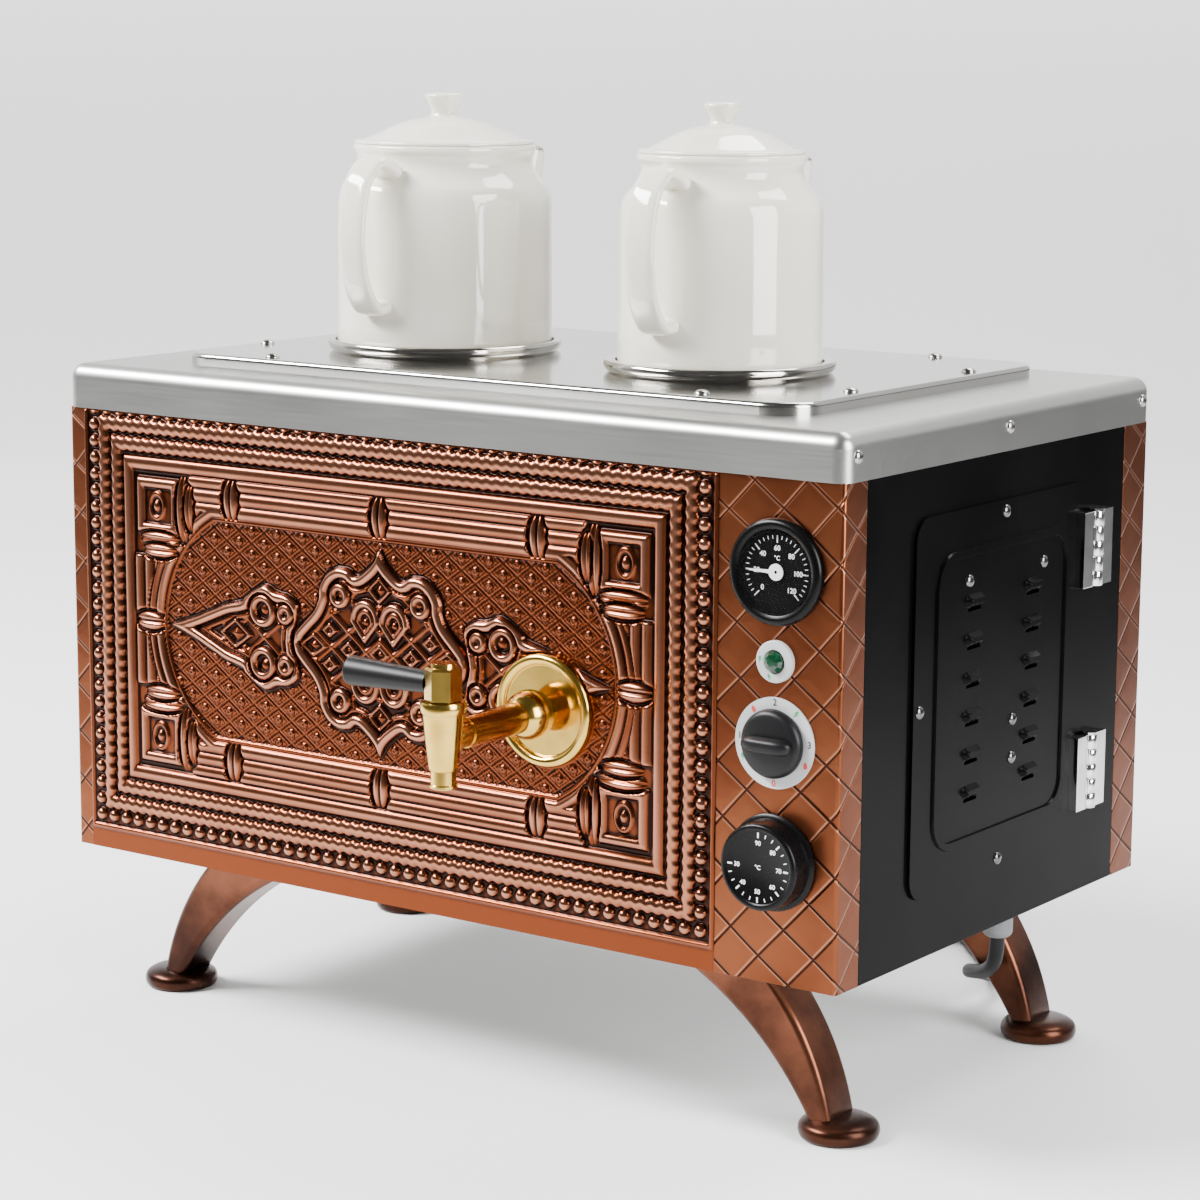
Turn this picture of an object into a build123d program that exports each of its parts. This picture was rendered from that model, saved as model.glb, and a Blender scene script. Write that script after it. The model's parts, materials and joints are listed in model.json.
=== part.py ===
"""Two-pot tea boiler with an electric heater and a gas burner, in millimetres.

The origin is on the floor under the middle of the cabinet: +X is the user's right, +Y the back, +Z up.
"""
import os
from math import tan, radians

from build123d import *

# Cabinet
BODY_W = 500.0            # outside width of the sheet cabinet
BODY_D = 311.0            # outside depth
BODY_H = 247.0            # from the underside to the lower edge of the tray's skirt
LEG_H = 90.0              # from the floor to the underside
SHEET = 1.2               # sheet thickness
PAN_H = 22.0              # upstand of the base pan
PAN_HOLE_R = 5.5          # air holes under the burner
PAN_HOLE_PITCH = 36.0
LEFT_STRIP = 10.7         # plain copper at the left of the front
CONTROL_W = 70.0          # control strip at the right of the front
FRONT_RETURN = 20.5       # how far the front strips wrap round the sides
REAR_STRIP = 27.0         # width of each leg of the rear corner strips
EDGE_R = 2.0              # bend of the corner strips
PANEL_TOP_GAP = 0.5       # from the panels' top to the start of the tray's bend
CLEAR = 0.1               # clearance of a fastener in its hole
RUN = 0.05                # running clearance of a shaft in its bore

# Top tray, tank and cover
SKIRT_H = 24.0
TRAY_BEND = 8.0
NOTCH = 9.0               # corner relief of the strips inside the tray
COVER_SIDE = 48.0         # from the cabinet's side to the cover
COVER_D = 248.0
COVER_H = 6.5
COVER_R = 22.0
COVER_Y = 2.0             # middle of the cover
COVER_BEND = 2.5
GASKET_W = 18.0
GASKET_GAP = 0.5
COVER_SCREW_INSET = 10.0
COVER_SCREW_X = 140.0     # screws of the long edges, from the middle
COVER_SCREW_Y = 59.0      # screws of the short edges, from the middle
TANK_FLANGE = 14.0
TANK_UP = 93.6            # tank's underside above the pan's floor
SCREW_R = 2.0
SCREW_HEAD_R = 4.0
SCREW_HEAD_H = 2.4
SKIRT_SCREW_R = 1.6
SKIRT_SCREW_LENGTH = 6.0
SKIRT_SCREW_SIDE = 9.5    # outer screws of the sides, from the corners
SKIRT_SCREW_BACK = 70.0   # outer screws of the back, from the corners

# Embossed front
EMBOSS_INSETS = (16.0, 22.5, 31.0)
EMBOSS_BOTTOM = 10.0      # plain band under the embossing
EMBOSS_LAP = 10.6         # how far the embossing reaches up behind the skirt
RIDGE_W = 3.6
RIDGE_H = 1.4
FRAME_SIDE = 37.15        # inner frame from the embossing's sides
FRAME_END = 39.1          # inner frame from the embossing's top and bottom
FIELD_SIDE = 23.0         # field's round ends from the frame
FIELD_CORNER = 57.5       # start of the round ends from the frame
FIELD_END = 26.1          # field's straight edges from the frame
MEDAL_W = 150.0
MEDAL_H = 92.0

# Pot rings, pots and lids: left pot, right pot
POT_X = (-94.0, 89.0)
POT_Y = -20.0
POT_R = (59.4, 53.7)
NECK_R = (50.2, 44.4)
RING_R = (62.2, 58.6)
KNOB_R = (10.8, 9.6)
KNOB_H = (13.0, 11.6)
RING_WALL = 1.6
RING_H = 7.0
RING_FLANGE = 2.5
RING_LEDGE = 14.0
POT_H = 112.3
SHOULDER_DROP = 29.0      # from the rim down to the shoulder
NECK_DROP = 9.0
POT_WALL = 4.0
POT_BASE_R = 3.0
POT_DRAFT = 1.0           # how much the body narrows to its shoulder
LID_RISE = 14.5
LID_SKIRT = 9.0
LID_EDGE = 7.0            # flat edge round the dome, from the neck's outside
LID_FIT = 0.7
HANDLE_REACH = 23.0       # outside of the handle from the body
HANDLE_W = 17.5
HANDLE_T = 5.6
HANDLE_TOP = 9.0          # middle of the handle's top under the rim
HANDLE_BOTTOM = 27.5      # middle of the handle's lower end above the base
HANDLE_BEND = 14.0
SPOUT_REACH = 21.0        # middle of the spout's tip from the body
SPOUT_ROOT = 30.0         # middle of the spout's root above the base
SPOUT_ROOT_R = 16.0
SPOUT_MID_R = 10.5
SPOUT_TIP_R = 7.5
SPOUT_WALL = 3.0
SPOUT_TIP_DROP = 4.0

# Controls, on one vertical line: thermometer, pilot lamp, selector and thermostat
CONTROL_INSET = 36.2      # from the right side of the cabinet
CONTROL_GAPS = (18.8, 6.95, 7.15, 12.2, 36.8)  # gaps from the skirt down, which share the free height
BEZEL_R = 26.0
BEZEL_H = 4.5
DIAL_R = 19.3
DIAL_T = 0.8
DIAL_UP = 0.2             # dial's seat in front of the panel
CASE_DEPTH = 14.0
CASE_WALL = 1.1
GLASS_UP = 3.0
GLASS_T = 1.0
POINTER_UP = 1.6
POINTER_T = 0.6
POINTER_HUB_R = 4.0
POINTER_LENGTH = 15.5
POINTER_W = 2.2
POINTER_PIN_R = 0.8
PILOT_R = 10.25
PILOT_H = 2.5
LENS_R = 5.5
LENS_H = 5.5
LAMP_R = 4.0
LAMP_DEPTH = 22.0
SHAFT_R = 3.0
SHAFT_DEPTH = 16.0
BUSH_R = 5.0
SELECTOR_PLATE_R = 22.3
SELECTOR_PLATE_T = 1.0
SELECTOR_R = 17.0
SELECTOR_BASE_H = 4.0
SELECTOR_GRIP_W = 8.5
SELECTOR_H = 15.0
SWITCH_W = 38.0
SWITCH_DEPTH = 30.0
KNOB_GAP = 0.4
THERMOSTAT_R = 24.0
THERMOSTAT_SKIRT_H = 2.5
THERMOSTAT_WAIST_R = 19.5
THERMOSTAT_TOP_R = 17.5
THERMOSTAT_H = 15.0
THERMOSTAT_BODY_R = 18.0
THERMOSTAT_BODY_DEPTH = 26.0

# Tap
TAP_X = 77.5
TAP_Z = 118.0             # above the underside
TAP_REACH = 83.0          # from the front to the valve's axis
ROSETTE_R = 28.2
ROSETTE_H = 5.0
ROSETTE_DISH = 2.2
PIPE_R = 7.0
PIPE_BORE = 4.5
COLLAR_R = 12.5
COLLAR_AT = 9.0           # start of the collar in front of the panel
COLLAR_L = 16.0
STUB_R = 7.8
STUB_L = 16.0
VALVE_R = 11.3
VALVE_UP = 18.5           # top of the valve above the pipe's axis
VALVE_TAPER_UP = 4.0
VALVE_TAPER_DOWN = 17.0
VALVE_FOOT_R = 7.8
OUTLET_R = 7.2
OUTLET_DOWN = 24.5
PLUG_R = 6.0
PLUG_DOWN = 9.5
PORT_R = 3.5
HEX_FLATS = 16.0
HEX_H = 16.0
HEX_NUB_R = 6.2
HEX_NUB_H = 2.2
HEAD_GAP = 0.3
LEVER_R = 3.0
LEVER_UP = 8.0            # lever above the valve's top
LEVER_L = 42.0
GRIP_R_NEAR = 5.3
GRIP_R_FAR = 7.5
GRIP_END = 58.0           # end of the grip from the valve's axis
GRIP_GAP = 0.6
LOCKNUT_R = 12.5
LOCKNUT_T = 7.0

# Heater, burner and gas
HEATER_Y = 48.0
HEATER_UP = 26.0          # above the tank's floor
HEATER_R = 4.0
HEATER_PITCH = 22.0
HEATER_END = 70.8         # from the loop's end to the tank's far wall
HEATER_PLUG_R = 17.0
HEATER_FLANGE_R = 23.0
HEATER_FLANGE_T = 4.0
HEATER_CAP_R = 15.0
HEATER_CAP_L = 14.0
BURNER_R = 60.0
BURNER_H = 18.0
BURNER_UP = 48.0          # burner's underside above the pan's floor
MIXER_R = 11.0
MIXER_UP = 34.0
MIXER_END = 32.0          # from the mixing tube's end to the gas pipe
BURNER_POST_R = 13.0
PORTS = 24
BURNER_PORT_R = 1.6
GAS_R = 5.0
GAS_INSET = 90.0          # gas inlet from the right side
GAS_BEND = 24.0
GAS_THREAD_R = 10.48      # half-inch pipe thread, major radius
GAS_THREAD_L = 16.0
GAS_HEX_FLATS = 24.0
GAS_HEX_T = 7.0
GAS_BORE_R = 5.0
GAS_INSIDE_L = 10.0

# Side door and hinges
DOOR_W = 176.7
DOOR_BELOW = 31.05        # from the underside to the door
DOOR_ABOVE = 24.25        # from the door to the skirt
DOOR_R = 12.5
DOOR_T = 1.5
DOOR_GAP = 0.3
DOOR_Y = -2.65
DOOR_LAP = 12.0           # how far the door laps over the cabinet's side
RIB_INSET = 20.0
RIB_R = 18.0
RIB_W = 4.5
RIB_H = 1.2
LOUVRE_W = 17.0
LOUVRE_H = 7.0
LOUVRE_RISE = 2.8
LOUVRE_TAPER = 38.0
LOUVRE_SLOT = 1.8
LOUVRE_GAP = 60.6
LOUVRE_PITCH = 19.5
LOUVRE_END = 37.0         # door's ends kept free of gills
LINER_INSET = 5.5         # liner's rim inside the opening
LINER_DEPTH = 8.0
DOOR_SCREW_R = 1.7
DOOR_SCREW_HEAD_R = 3.4
DOOR_SCREW_HEAD_H = 1.8
DOOR_EDGE_SCREW = 6.0     # edge screws inside the door's outline
DOOR_TOP_SCREWS = (-36.0, 41.0)
DOOR_TOP_SCREW_DROP = 19.35   # from the liner's top edge
DOOR_MID_SCREW_Y = 12.0
DOOR_MID_SCREWS = (-19.0, -39.0)
HINGE_INSET = 35.85       # middle of a hinge from the door's end
HINGE_H = 40.0
HINGE_BARREL_R = 4.0
HINGE_PIN_R = 2.0
HINGE_OUT = 5.5           # pin's axis outside the cabinet's side
HINGE_BEHIND = 2.8        # pin's axis behind the door's edge
HINGE_LEAF = 11.0
HINGE_LEAF_GAP = 0.6
HINGE_LEAF_OUT = 7.0      # leaf's outer face outside the cabinet's side
HINGE_KNUCKLES = 5
HINGE_KNUCKLE_GAP = 0.2
HINGE_PIN_HEAD = 1.2

# Legs and feet
FOOT_INSET_X = 28.0
FOOT_INSET_Y = 51.5
FOOT_R = 20.7
FOOT_H = 12.0
FOOT_CUP_R = 17.5
FOOT_CUP = 3.0
FOOT_ROUND = 4.0
LEG_T = 27.0
LEG_EDGE_R = 4.0
LEG_OUT = (2.0, -7.0, -45.0)      # outer edge from the foot's axis: foot, knee, top
LEG_IN = (-11.0, -42.0, -117.0)   # inner edge from the foot's axis: foot, knee, top
LEG_KNEE_OUT = 38.5
LEG_KNEE_IN = 48.0
LEG_BOLT_R = 2.5
LEG_BOLT_L = 14.0
LEG_BOLTS = (-67.0, -97.0)        # bolts from the foot's axis
BOLT_HEAD_R = 5.0
BOLT_HEAD_H = 4.0

# Mains lead
GLAND_INSET = 23.0        # from the right side
GLAND_Y = 45.5
GLAND_R = 8.0
GLAND_L = 13.5
GLAND_NUT_R = 11.5
GLAND_NUT_T = 6.0
GLAND_LOCK_T = 5.0
CORD_R = 4.0
COIL_X = 48.0
COIL_Y = 262.0
COIL_R = 52.0             # outermost half turn of the lower layer
COIL_STEP = 9.0           # from one turn to the next
COIL_CLIMB = 8.7          # from one layer to the next
COIL_TURNS = 2            # turns in each layer
COIL_TAIL_R = 60.0
TIE_T = 1.0
TIE_W = 8.0
TIE_GAP = 0.3             # above and below the bundle
TIE_SIDE = 1.3            # beside the bundle
MAINS_PLUG_R = 18.5
MAINS_PLUG_H = 27.0
MAINS_ENTRY_UP = 9.0
RELIEF_L = 26.0
RELIEF_R = 7.5
RELIEF_END_R = 5.5
CONTACT_R = 2.4
CONTACT_L = 19.0
CONTACT_SPACING = 19.0

# Places worked out from the sizes
right_x = BODY_W / 2
front_y = -BODY_D / 2
back_y = BODY_D / 2
base_z = LEG_H
floor_z = base_z + SHEET
skirt_z = base_z + BODY_H
tray_z = skirt_z + SKIRT_H
under_tray_z = tray_z - SHEET
panel_top = tray_z - TRAY_BEND - PANEL_TOP_GAP
cover_z = tray_z + COVER_H
pot_z = cover_z + SHEET
rim_z = pot_z + POT_H
cover_w = BODY_W - 2 * COVER_SIDE
tank_w = cover_w - 2 * (SHEET + GASKET_GAP + GASKET_W)
tank_d = COVER_D - 2 * (SHEET + GASKET_GAP + GASKET_W)
tank_z = floor_z + TANK_UP
tank_h = under_tray_z - tank_z
control_x = right_x - CONTROL_INSET
front_left = -right_x + LEFT_STRIP
front_right = right_x - CONTROL_W
front_mid = (front_left + front_right) / 2
tap_z = base_z + TAP_Z
tap_y = front_y - TAP_REACH
door_h = BODY_H - DOOR_BELOW - DOOR_ABOVE
door_z = base_z + DOOR_BELOW + door_h / 2
louvre_rows = int((door_h - 2 * LOUVRE_END) / LOUVRE_PITCH)
gas_x = right_x - GAS_INSET
mixer_l = gas_x - MIXER_END
gland_x = right_x - GLAND_INSET
door_x = right_x + DOOR_GAP
hinge_x = right_x + HINGE_OUT
hinge_y = DOOR_Y + DOOR_W / 2 + HINGE_BEHIND
foot_x = right_x - FOOT_INSET_X
foot_y = back_y - FOOT_INSET_Y
corners = [(x, y) for x in (-1, 1) for y in (-1, 1)]
feet_xy = [(x * foot_x, y * foot_y) for x, y in corners]

# Heights of the controls, down from the skirt
control_radii = (BEZEL_R, PILOT_R, SELECTOR_PLATE_R, THERMOSTAT_R)
gap_share = (BODY_H - 2 * sum(control_radii)) / sum(CONTROL_GAPS)
control_heights = []
level = skirt_z
for gap, radius in zip(CONTROL_GAPS, control_radii):
    level -= gap * gap_share + radius
    control_heights.append(level)
    level -= radius
thermometer_z, pilot_z, selector_z, thermostat_z = control_heights

pieces = {}


def facing_front(x, z, y=front_y):
    """Plane with X to the right and Y up, looking out of the front."""
    return Plane(origin=(x, y, z), x_dir=(1, 0, 0), z_dir=(0, -1, 0))


def turned_front(x, z):
    """Plane for a profile turned about an axis out of the front: X is the radius, Y points outwards."""
    return Plane(origin=(x, front_y, z), x_dir=(1, 0, 0), z_dir=(0, 0, -1))


def front_axis(x, z):
    """Axis out of the front."""
    return Axis((x, front_y, z), (0, -1, 0))


def facing_right(y, z, x=right_x):
    """Plane with X to the back and Y up, looking out of the right side."""
    return Plane(origin=(x, y, z), x_dir=(0, 1, 0), z_dir=(1, 0, 0))


# Fastener places that several pieces share
skirt_screws_side = [end * (back_y - SKIRT_SCREW_SIDE) for end in (-1, 0, 1)]
skirt_screws_back = [side * (right_x - SKIRT_SCREW_BACK) for side in (-1, 0, 1)]
skirt_screw_z = skirt_z + SKIRT_H / 2
skirt_planes = [
    Plane(origin=(side * (right_x + SHEET), y, skirt_screw_z), z_dir=(side, 0, 0))
    for side in (-1, 1)
    for y in skirt_screws_side
] + [
    Plane(origin=(x, back_y + SHEET, skirt_screw_z), z_dir=(0, 1, 0)) for x in skirt_screws_back
]
cover_screw_xy = [
    (x * COVER_SCREW_X, COVER_Y + y * (COVER_D / 2 - COVER_SCREW_INSET)) for x, y in corners
] + [
    (x * (cover_w / 2 - COVER_SCREW_INSET), COVER_Y + y * COVER_SCREW_Y) for x, y in corners
]
leg_bolt_xy = [(x * (foot_x + dx), y * foot_y) for x, y in corners for dx in LEG_BOLTS]

with BuildPart() as skirt_bores:
    for plane in skirt_planes:
        with BuildSketch(plane):
            Circle(SKIRT_SCREW_R + CLEAR)
        extrude(amount=-SKIRT_SCREW_LENGTH - 1)

with BuildPart() as cover_bores:
    with BuildSketch(Plane.XY.offset(cover_z)):
        with Locations(*cover_screw_xy):
            Circle(SCREW_R + CLEAR)
    extrude(amount=-COVER_H - 3 * SHEET)


# Base pan
with BuildPart() as base_pan:
    with BuildSketch(Plane.XY.offset(base_z)):
        Rectangle(BODY_W - 2 * SHEET, BODY_D - 2 * SHEET)
    extrude(amount=PAN_H)
    offset(amount=-SHEET, openings=base_pan.faces().sort_by(Axis.Z)[-1])
    with BuildSketch(Plane.XY.offset(base_z)):
        with Locations(*leg_bolt_xy):
            Circle(LEG_BOLT_R + CLEAR)
        with Locations((gland_x, GLAND_Y)):
            Circle(GLAND_R + CLEAR)
        with GridLocations(PAN_HOLE_PITCH, PAN_HOLE_PITCH, 4, 3):
            Circle(PAN_HOLE_R)
    extrude(amount=SHEET, mode=Mode.SUBTRACT)
pieces["base_pan"] = base_pan

# Embossed front
emboss_h = BODY_H + EMBOSS_LAP - EMBOSS_BOTTOM
field_z = base_z + EMBOSS_BOTTOM + emboss_h / 2
frame_w = front_right - front_left - 2 * FRAME_SIDE
frame_h = emboss_h - 2 * FRAME_END
field_flat = frame_w / 2 - FIELD_CORNER
with BuildPart() as front_panel:
    with BuildSketch(facing_front(front_mid, base_z)):
        Rectangle(front_right - front_left, panel_top - base_z, align=(Align.CENTER, Align.MIN))
    extrude(amount=-SHEET)
    with BuildSketch(facing_front(front_mid, field_z)):
        for inset in EMBOSS_INSETS:
            width = front_right - front_left - 2 * inset
            height = emboss_h - 2 * inset
            Rectangle(width, height)
            Rectangle(width - 2 * RIDGE_W, height - 2 * RIDGE_W, mode=Mode.SUBTRACT)
        Rectangle(frame_w, frame_h)
        Rectangle(frame_w - 2 * RIDGE_W, frame_h - 2 * RIDGE_W, mode=Mode.SUBTRACT)
        for shrink, mode in ((0.0, Mode.ADD), (RIDGE_W, Mode.SUBTRACT)):
            half_w = frame_w / 2 - FIELD_SIDE - shrink
            half_h = frame_h / 2 - FIELD_END - shrink
            with BuildLine():
                Line((-field_flat, half_h), (field_flat, half_h))
                ThreePointArc((field_flat, half_h), (half_w, 0), (field_flat, -half_h))
                Line((field_flat, -half_h), (-field_flat, -half_h))
                ThreePointArc((-field_flat, -half_h), (-half_w, 0), (-field_flat, half_h))
            make_face(mode=mode)
        Ellipse(MEDAL_W / 2, MEDAL_H / 2)
        Ellipse(MEDAL_W / 2 - RIDGE_W, MEDAL_H / 2 - RIDGE_W, mode=Mode.SUBTRACT)
    extrude(amount=RIDGE_H)
    with BuildSketch(facing_front(TAP_X, tap_z)):
        Circle(ROSETTE_R + CLEAR)
    extrude(amount=2 * RIDGE_H, mode=Mode.SUBTRACT)
    with BuildSketch(facing_front(TAP_X, tap_z)):
        Circle(PIPE_R + CLEAR)
    extrude(amount=-SHEET, mode=Mode.SUBTRACT)
pieces["front_panel"] = front_panel


def corner_strip(side, end, along_x, along_y):
    """Copper strip bent round one upright corner of the cabinet."""
    x_align = Align.MAX if side > 0 else Align.MIN
    y_align = Align.MAX if end > 0 else Align.MIN
    with BuildPart() as strip:
        with BuildSketch(Plane.XY.offset(base_z)):
            with Locations((side * right_x, end * back_y)):
                Rectangle(along_x, SHEET, align=(x_align, y_align))
                Rectangle(SHEET, along_y, align=(x_align, y_align))
        extrude(amount=panel_top - base_z)
        outer_edge = strip.edges().filter_by(Axis.Z).sort_by_distance((side * right_x, end * back_y, base_z))[0]
        fillet(outer_edge, EDGE_R)
        with BuildSketch(Plane.XY.offset(skirt_z)):
            with Locations((side * right_x, end * back_y)):
                Rectangle(2 * NOTCH, 2 * NOTCH)
        extrude(amount=SKIRT_H, mode=Mode.SUBTRACT)
        add(skirt_bores.part, mode=Mode.SUBTRACT)
    return strip


pieces["front_left_corner"] = corner_strip(-1, -1, LEFT_STRIP, FRONT_RETURN)
rear_strips = [corner_strip(side, 1, REAR_STRIP, REAR_STRIP) for side in (-1, 1)]
with BuildPart() as rear_corners:
    for strip in rear_strips:
        add(strip.part)
pieces["rear_corners"] = rear_corners

# Control strip, with the holes of its four instruments
control_strip = corner_strip(1, -1, CONTROL_W, FRONT_RETURN)
with BuildPart() as control_panel:
    add(control_strip.part)
    for height, radius in (
        (thermometer_z, DIAL_R + CASE_WALL + CLEAR),
        (pilot_z, LAMP_R + CLEAR),
        (selector_z, BUSH_R + CLEAR),
        (thermostat_z, BUSH_R + CLEAR),
    ):
        with BuildSketch(facing_front(control_x, height)):
            Circle(radius)
        extrude(amount=-SHEET, mode=Mode.SUBTRACT)
pieces["control_panel"] = control_panel

# Side and back panels
side_mid = (FRONT_RETURN - REAR_STRIP) / 2
side_d = BODY_D - FRONT_RETURN - REAR_STRIP
opening_w = DOOR_W - 2 * DOOR_LAP
opening_h = door_h - 2 * DOOR_LAP
with BuildPart() as right_panel:
    with BuildSketch(facing_right(side_mid, base_z)):
        Rectangle(side_d, panel_top - base_z, align=(Align.CENTER, Align.MIN))
    extrude(amount=-SHEET)
    with BuildSketch(facing_right(DOOR_Y, door_z)):
        RectangleRounded(opening_w, opening_h, DOOR_R / 2)
    extrude(amount=-SHEET, mode=Mode.SUBTRACT)
    add(skirt_bores.part, mode=Mode.SUBTRACT)
pieces["right_panel"] = right_panel

with BuildPart() as left_panel:
    with BuildSketch(facing_right(side_mid, base_z, x=-right_x + SHEET)):
        Rectangle(side_d, panel_top - base_z, align=(Align.CENTER, Align.MIN))
        with Locations((0, BODY_H / 2)):
            with GridLocations(LOUVRE_GAP, LOUVRE_PITCH, 2, louvre_rows):
                SlotOverall(LOUVRE_W, 2 * LOUVRE_SLOT, mode=Mode.SUBTRACT)
    extrude(amount=-SHEET)
    add(skirt_bores.part, mode=Mode.SUBTRACT)
pieces["left_panel"] = left_panel

gas_z = floor_z + MIXER_UP
with BuildPart() as back_panel:
    with BuildSketch(facing_front(0, base_z, y=back_y)):
        Rectangle(BODY_W - 2 * REAR_STRIP, panel_top - base_z, align=(Align.CENTER, Align.MIN))
        with Locations((gas_x, gas_z - base_z)):
            Circle(GAS_THREAD_R + CLEAR, mode=Mode.SUBTRACT)
        with Locations((0, BODY_H / 2)):
            with GridLocations(LOUVRE_GAP, LOUVRE_PITCH, 4, louvre_rows):
                SlotOverall(LOUVRE_W, 2 * LOUVRE_SLOT, mode=Mode.SUBTRACT)
    extrude(amount=SHEET)
    add(skirt_bores.part, mode=Mode.SUBTRACT)
pieces["back_panel"] = back_panel

# Top tray with its skirt, open over the tank
with BuildPart() as top_tray:
    with BuildSketch(Plane.XY.offset(skirt_z)):
        Rectangle(BODY_W + 2 * SHEET, BODY_D + 2 * SHEET)
    extrude(amount=SKIRT_H)
    fillet(top_tray.edges().filter_by(Axis.Z) + top_tray.edges().group_by(Axis.Z)[-1], TRAY_BEND)
    offset(amount=-SHEET, openings=top_tray.faces().sort_by(Axis.Z)[0])
    with BuildSketch(Plane.XY.offset(tray_z)):
        with Locations((0, COVER_Y)):
            Rectangle(tank_w, tank_d)
    extrude(amount=-SHEET, mode=Mode.SUBTRACT)
    add(skirt_bores.part, mode=Mode.SUBTRACT)
    add(cover_bores.part, mode=Mode.SUBTRACT)
pieces["top_tray"] = top_tray

with BuildPart() as tray_screws:
    for plane in skirt_planes:
        with BuildSketch(plane):
            Circle(SKIRT_SCREW_R)
        extrude(amount=-SKIRT_SCREW_LENGTH)
        with BuildSketch(plane):
            Circle(DOOR_SCREW_HEAD_R)
        extrude(amount=DOOR_SCREW_HEAD_H, taper=25)
pieces["tray_screws"] = tray_screws

# Water tank, hung by its flange under the tray
tap_hole_r = PIPE_R + CLEAR
heater_z = tank_z + SHEET + HEATER_UP
with BuildPart() as water_tank:
    with BuildSketch(Plane.XY.offset(tank_z)):
        with Locations((0, COVER_Y)):
            Rectangle(tank_w + 2 * SHEET, tank_d + 2 * SHEET)
    extrude(amount=tank_h)
    with BuildSketch(Plane.XY.offset(under_tray_z)):
        with Locations((0, COVER_Y)):
            Rectangle(tank_w + 2 * TANK_FLANGE, tank_d + 2 * TANK_FLANGE)
    extrude(amount=-SHEET)
    with BuildSketch(Plane.XY.offset(tank_z + SHEET)):
        with Locations((0, COVER_Y)):
            Rectangle(tank_w, tank_d)
    extrude(amount=tank_h, mode=Mode.SUBTRACT)
    with BuildSketch(facing_front(TAP_X, tap_z, y=COVER_Y - tank_d / 2)):
        Circle(tap_hole_r)
    extrude(amount=SHEET, mode=Mode.SUBTRACT)
    with BuildSketch(facing_right(HEATER_Y, heater_z, x=tank_w / 2)):
        Circle(HEATER_PLUG_R + CLEAR)
    extrude(amount=SHEET, mode=Mode.SUBTRACT)
    add(cover_bores.part, mode=Mode.SUBTRACT)
pieces["water_tank"] = water_tank

# Tank cover, its gasket and its screws
ring_holes = [(x, POT_Y, r - RING_WALL - RING_LEDGE) for x, r in zip(POT_X, RING_R)]
with BuildPart() as tank_cover:
    with BuildSketch(Plane.XY.offset(tray_z)):
        with Locations((0, COVER_Y)):
            RectangleRounded(cover_w, COVER_D, COVER_R)
    extrude(amount=COVER_H)
    fillet(tank_cover.edges().group_by(Axis.Z)[-1], COVER_BEND)
    offset(amount=-SHEET, openings=tank_cover.faces().sort_by(Axis.Z)[0])
    for x, y, radius in ring_holes:
        with BuildSketch(Plane.XY.offset(cover_z)):
            with Locations((x, y)):
                Circle(radius)
        extrude(amount=-SHEET, mode=Mode.SUBTRACT)
    add(cover_bores.part, mode=Mode.SUBTRACT)
pieces["tank_cover"] = tank_cover

with BuildPart() as cover_gasket:
    with BuildSketch(Plane.XY.offset(tray_z)):
        with Locations((0, COVER_Y)):
            inner_edge = 2 * (SHEET + GASKET_GAP)
            RectangleRounded(cover_w - inner_edge, COVER_D - inner_edge, COVER_R - SHEET)
            Rectangle(tank_w, tank_d, mode=Mode.SUBTRACT)
    extrude(amount=COVER_H - SHEET - COVER_BEND)
    add(cover_bores.part, mode=Mode.SUBTRACT)
pieces["cover_gasket"] = cover_gasket

with BuildPart() as cover_screws:
    with BuildSketch(Plane.XY.offset(cover_z)):
        with Locations(*cover_screw_xy):
            Circle(SCREW_R)
    extrude(amount=-COVER_H - 2 * SHEET)
    with BuildSketch(Plane.XY.offset(cover_z)):
        with Locations(*cover_screw_xy):
            Circle(SCREW_HEAD_R)
    extrude(amount=SCREW_HEAD_H, taper=25)
pieces["cover_screws"] = cover_screws


def pot_ring(index):
    """Collar on the cover that locates one pot over its steam hole."""
    x, outer = POT_X[index], RING_R[index]
    with BuildPart() as ring:
        with BuildSketch(Plane.XY.offset(cover_z)):
            with Locations((x, POT_Y)):
                Circle(outer + RING_FLANGE)
                Circle(outer - RING_WALL - RING_LEDGE, mode=Mode.SUBTRACT)
        extrude(amount=SHEET)
        with BuildSketch(Plane.XY.offset(cover_z)):
            with Locations((x, POT_Y)):
                Circle(outer)
                Circle(outer - RING_WALL, mode=Mode.SUBTRACT)
        extrude(amount=RING_H)
        fillet(ring.edges().group_by(Axis.Z)[-1], RING_WALL / 3)
    return ring


def pot_profile(index, wall):
    """Face to turn about a pot's axis, inside its outer surface by the wall."""
    x, body_r, neck_r = POT_X[index], POT_R[index] - wall, NECK_R[index] - wall
    shoulder = POT_H - SHOULDER_DROP
    neck = POT_H - NECK_DROP
    with BuildSketch(Plane(origin=(x, POT_Y, pot_z), x_dir=(1, 0, 0), z_dir=(0, -1, 0))) as profile:
        with BuildLine():
            Line((0, wall), (body_r - POT_BASE_R, wall))
            Line((body_r - POT_BASE_R, wall), (body_r, wall + POT_BASE_R))
            Line((body_r, wall + POT_BASE_R), (body_r - POT_DRAFT, shoulder))
            Spline((body_r - POT_DRAFT, shoulder), (neck_r, neck), tangents=((0, 1), (-0.2, 1)))
            Line((neck_r, neck), (neck_r, POT_H))
            Line((neck_r, POT_H), (0, POT_H))
            Line((0, POT_H), (0, wall))
        make_face()
    return profile


def pot_block(index):
    """Pot's turned body without its hollow."""
    profile = pot_profile(index, 0)
    with BuildPart() as block:
        add(profile.sketch)
        revolve(axis=Axis((POT_X[index], POT_Y, 0), (0, 0, 1)))
    return block


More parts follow.
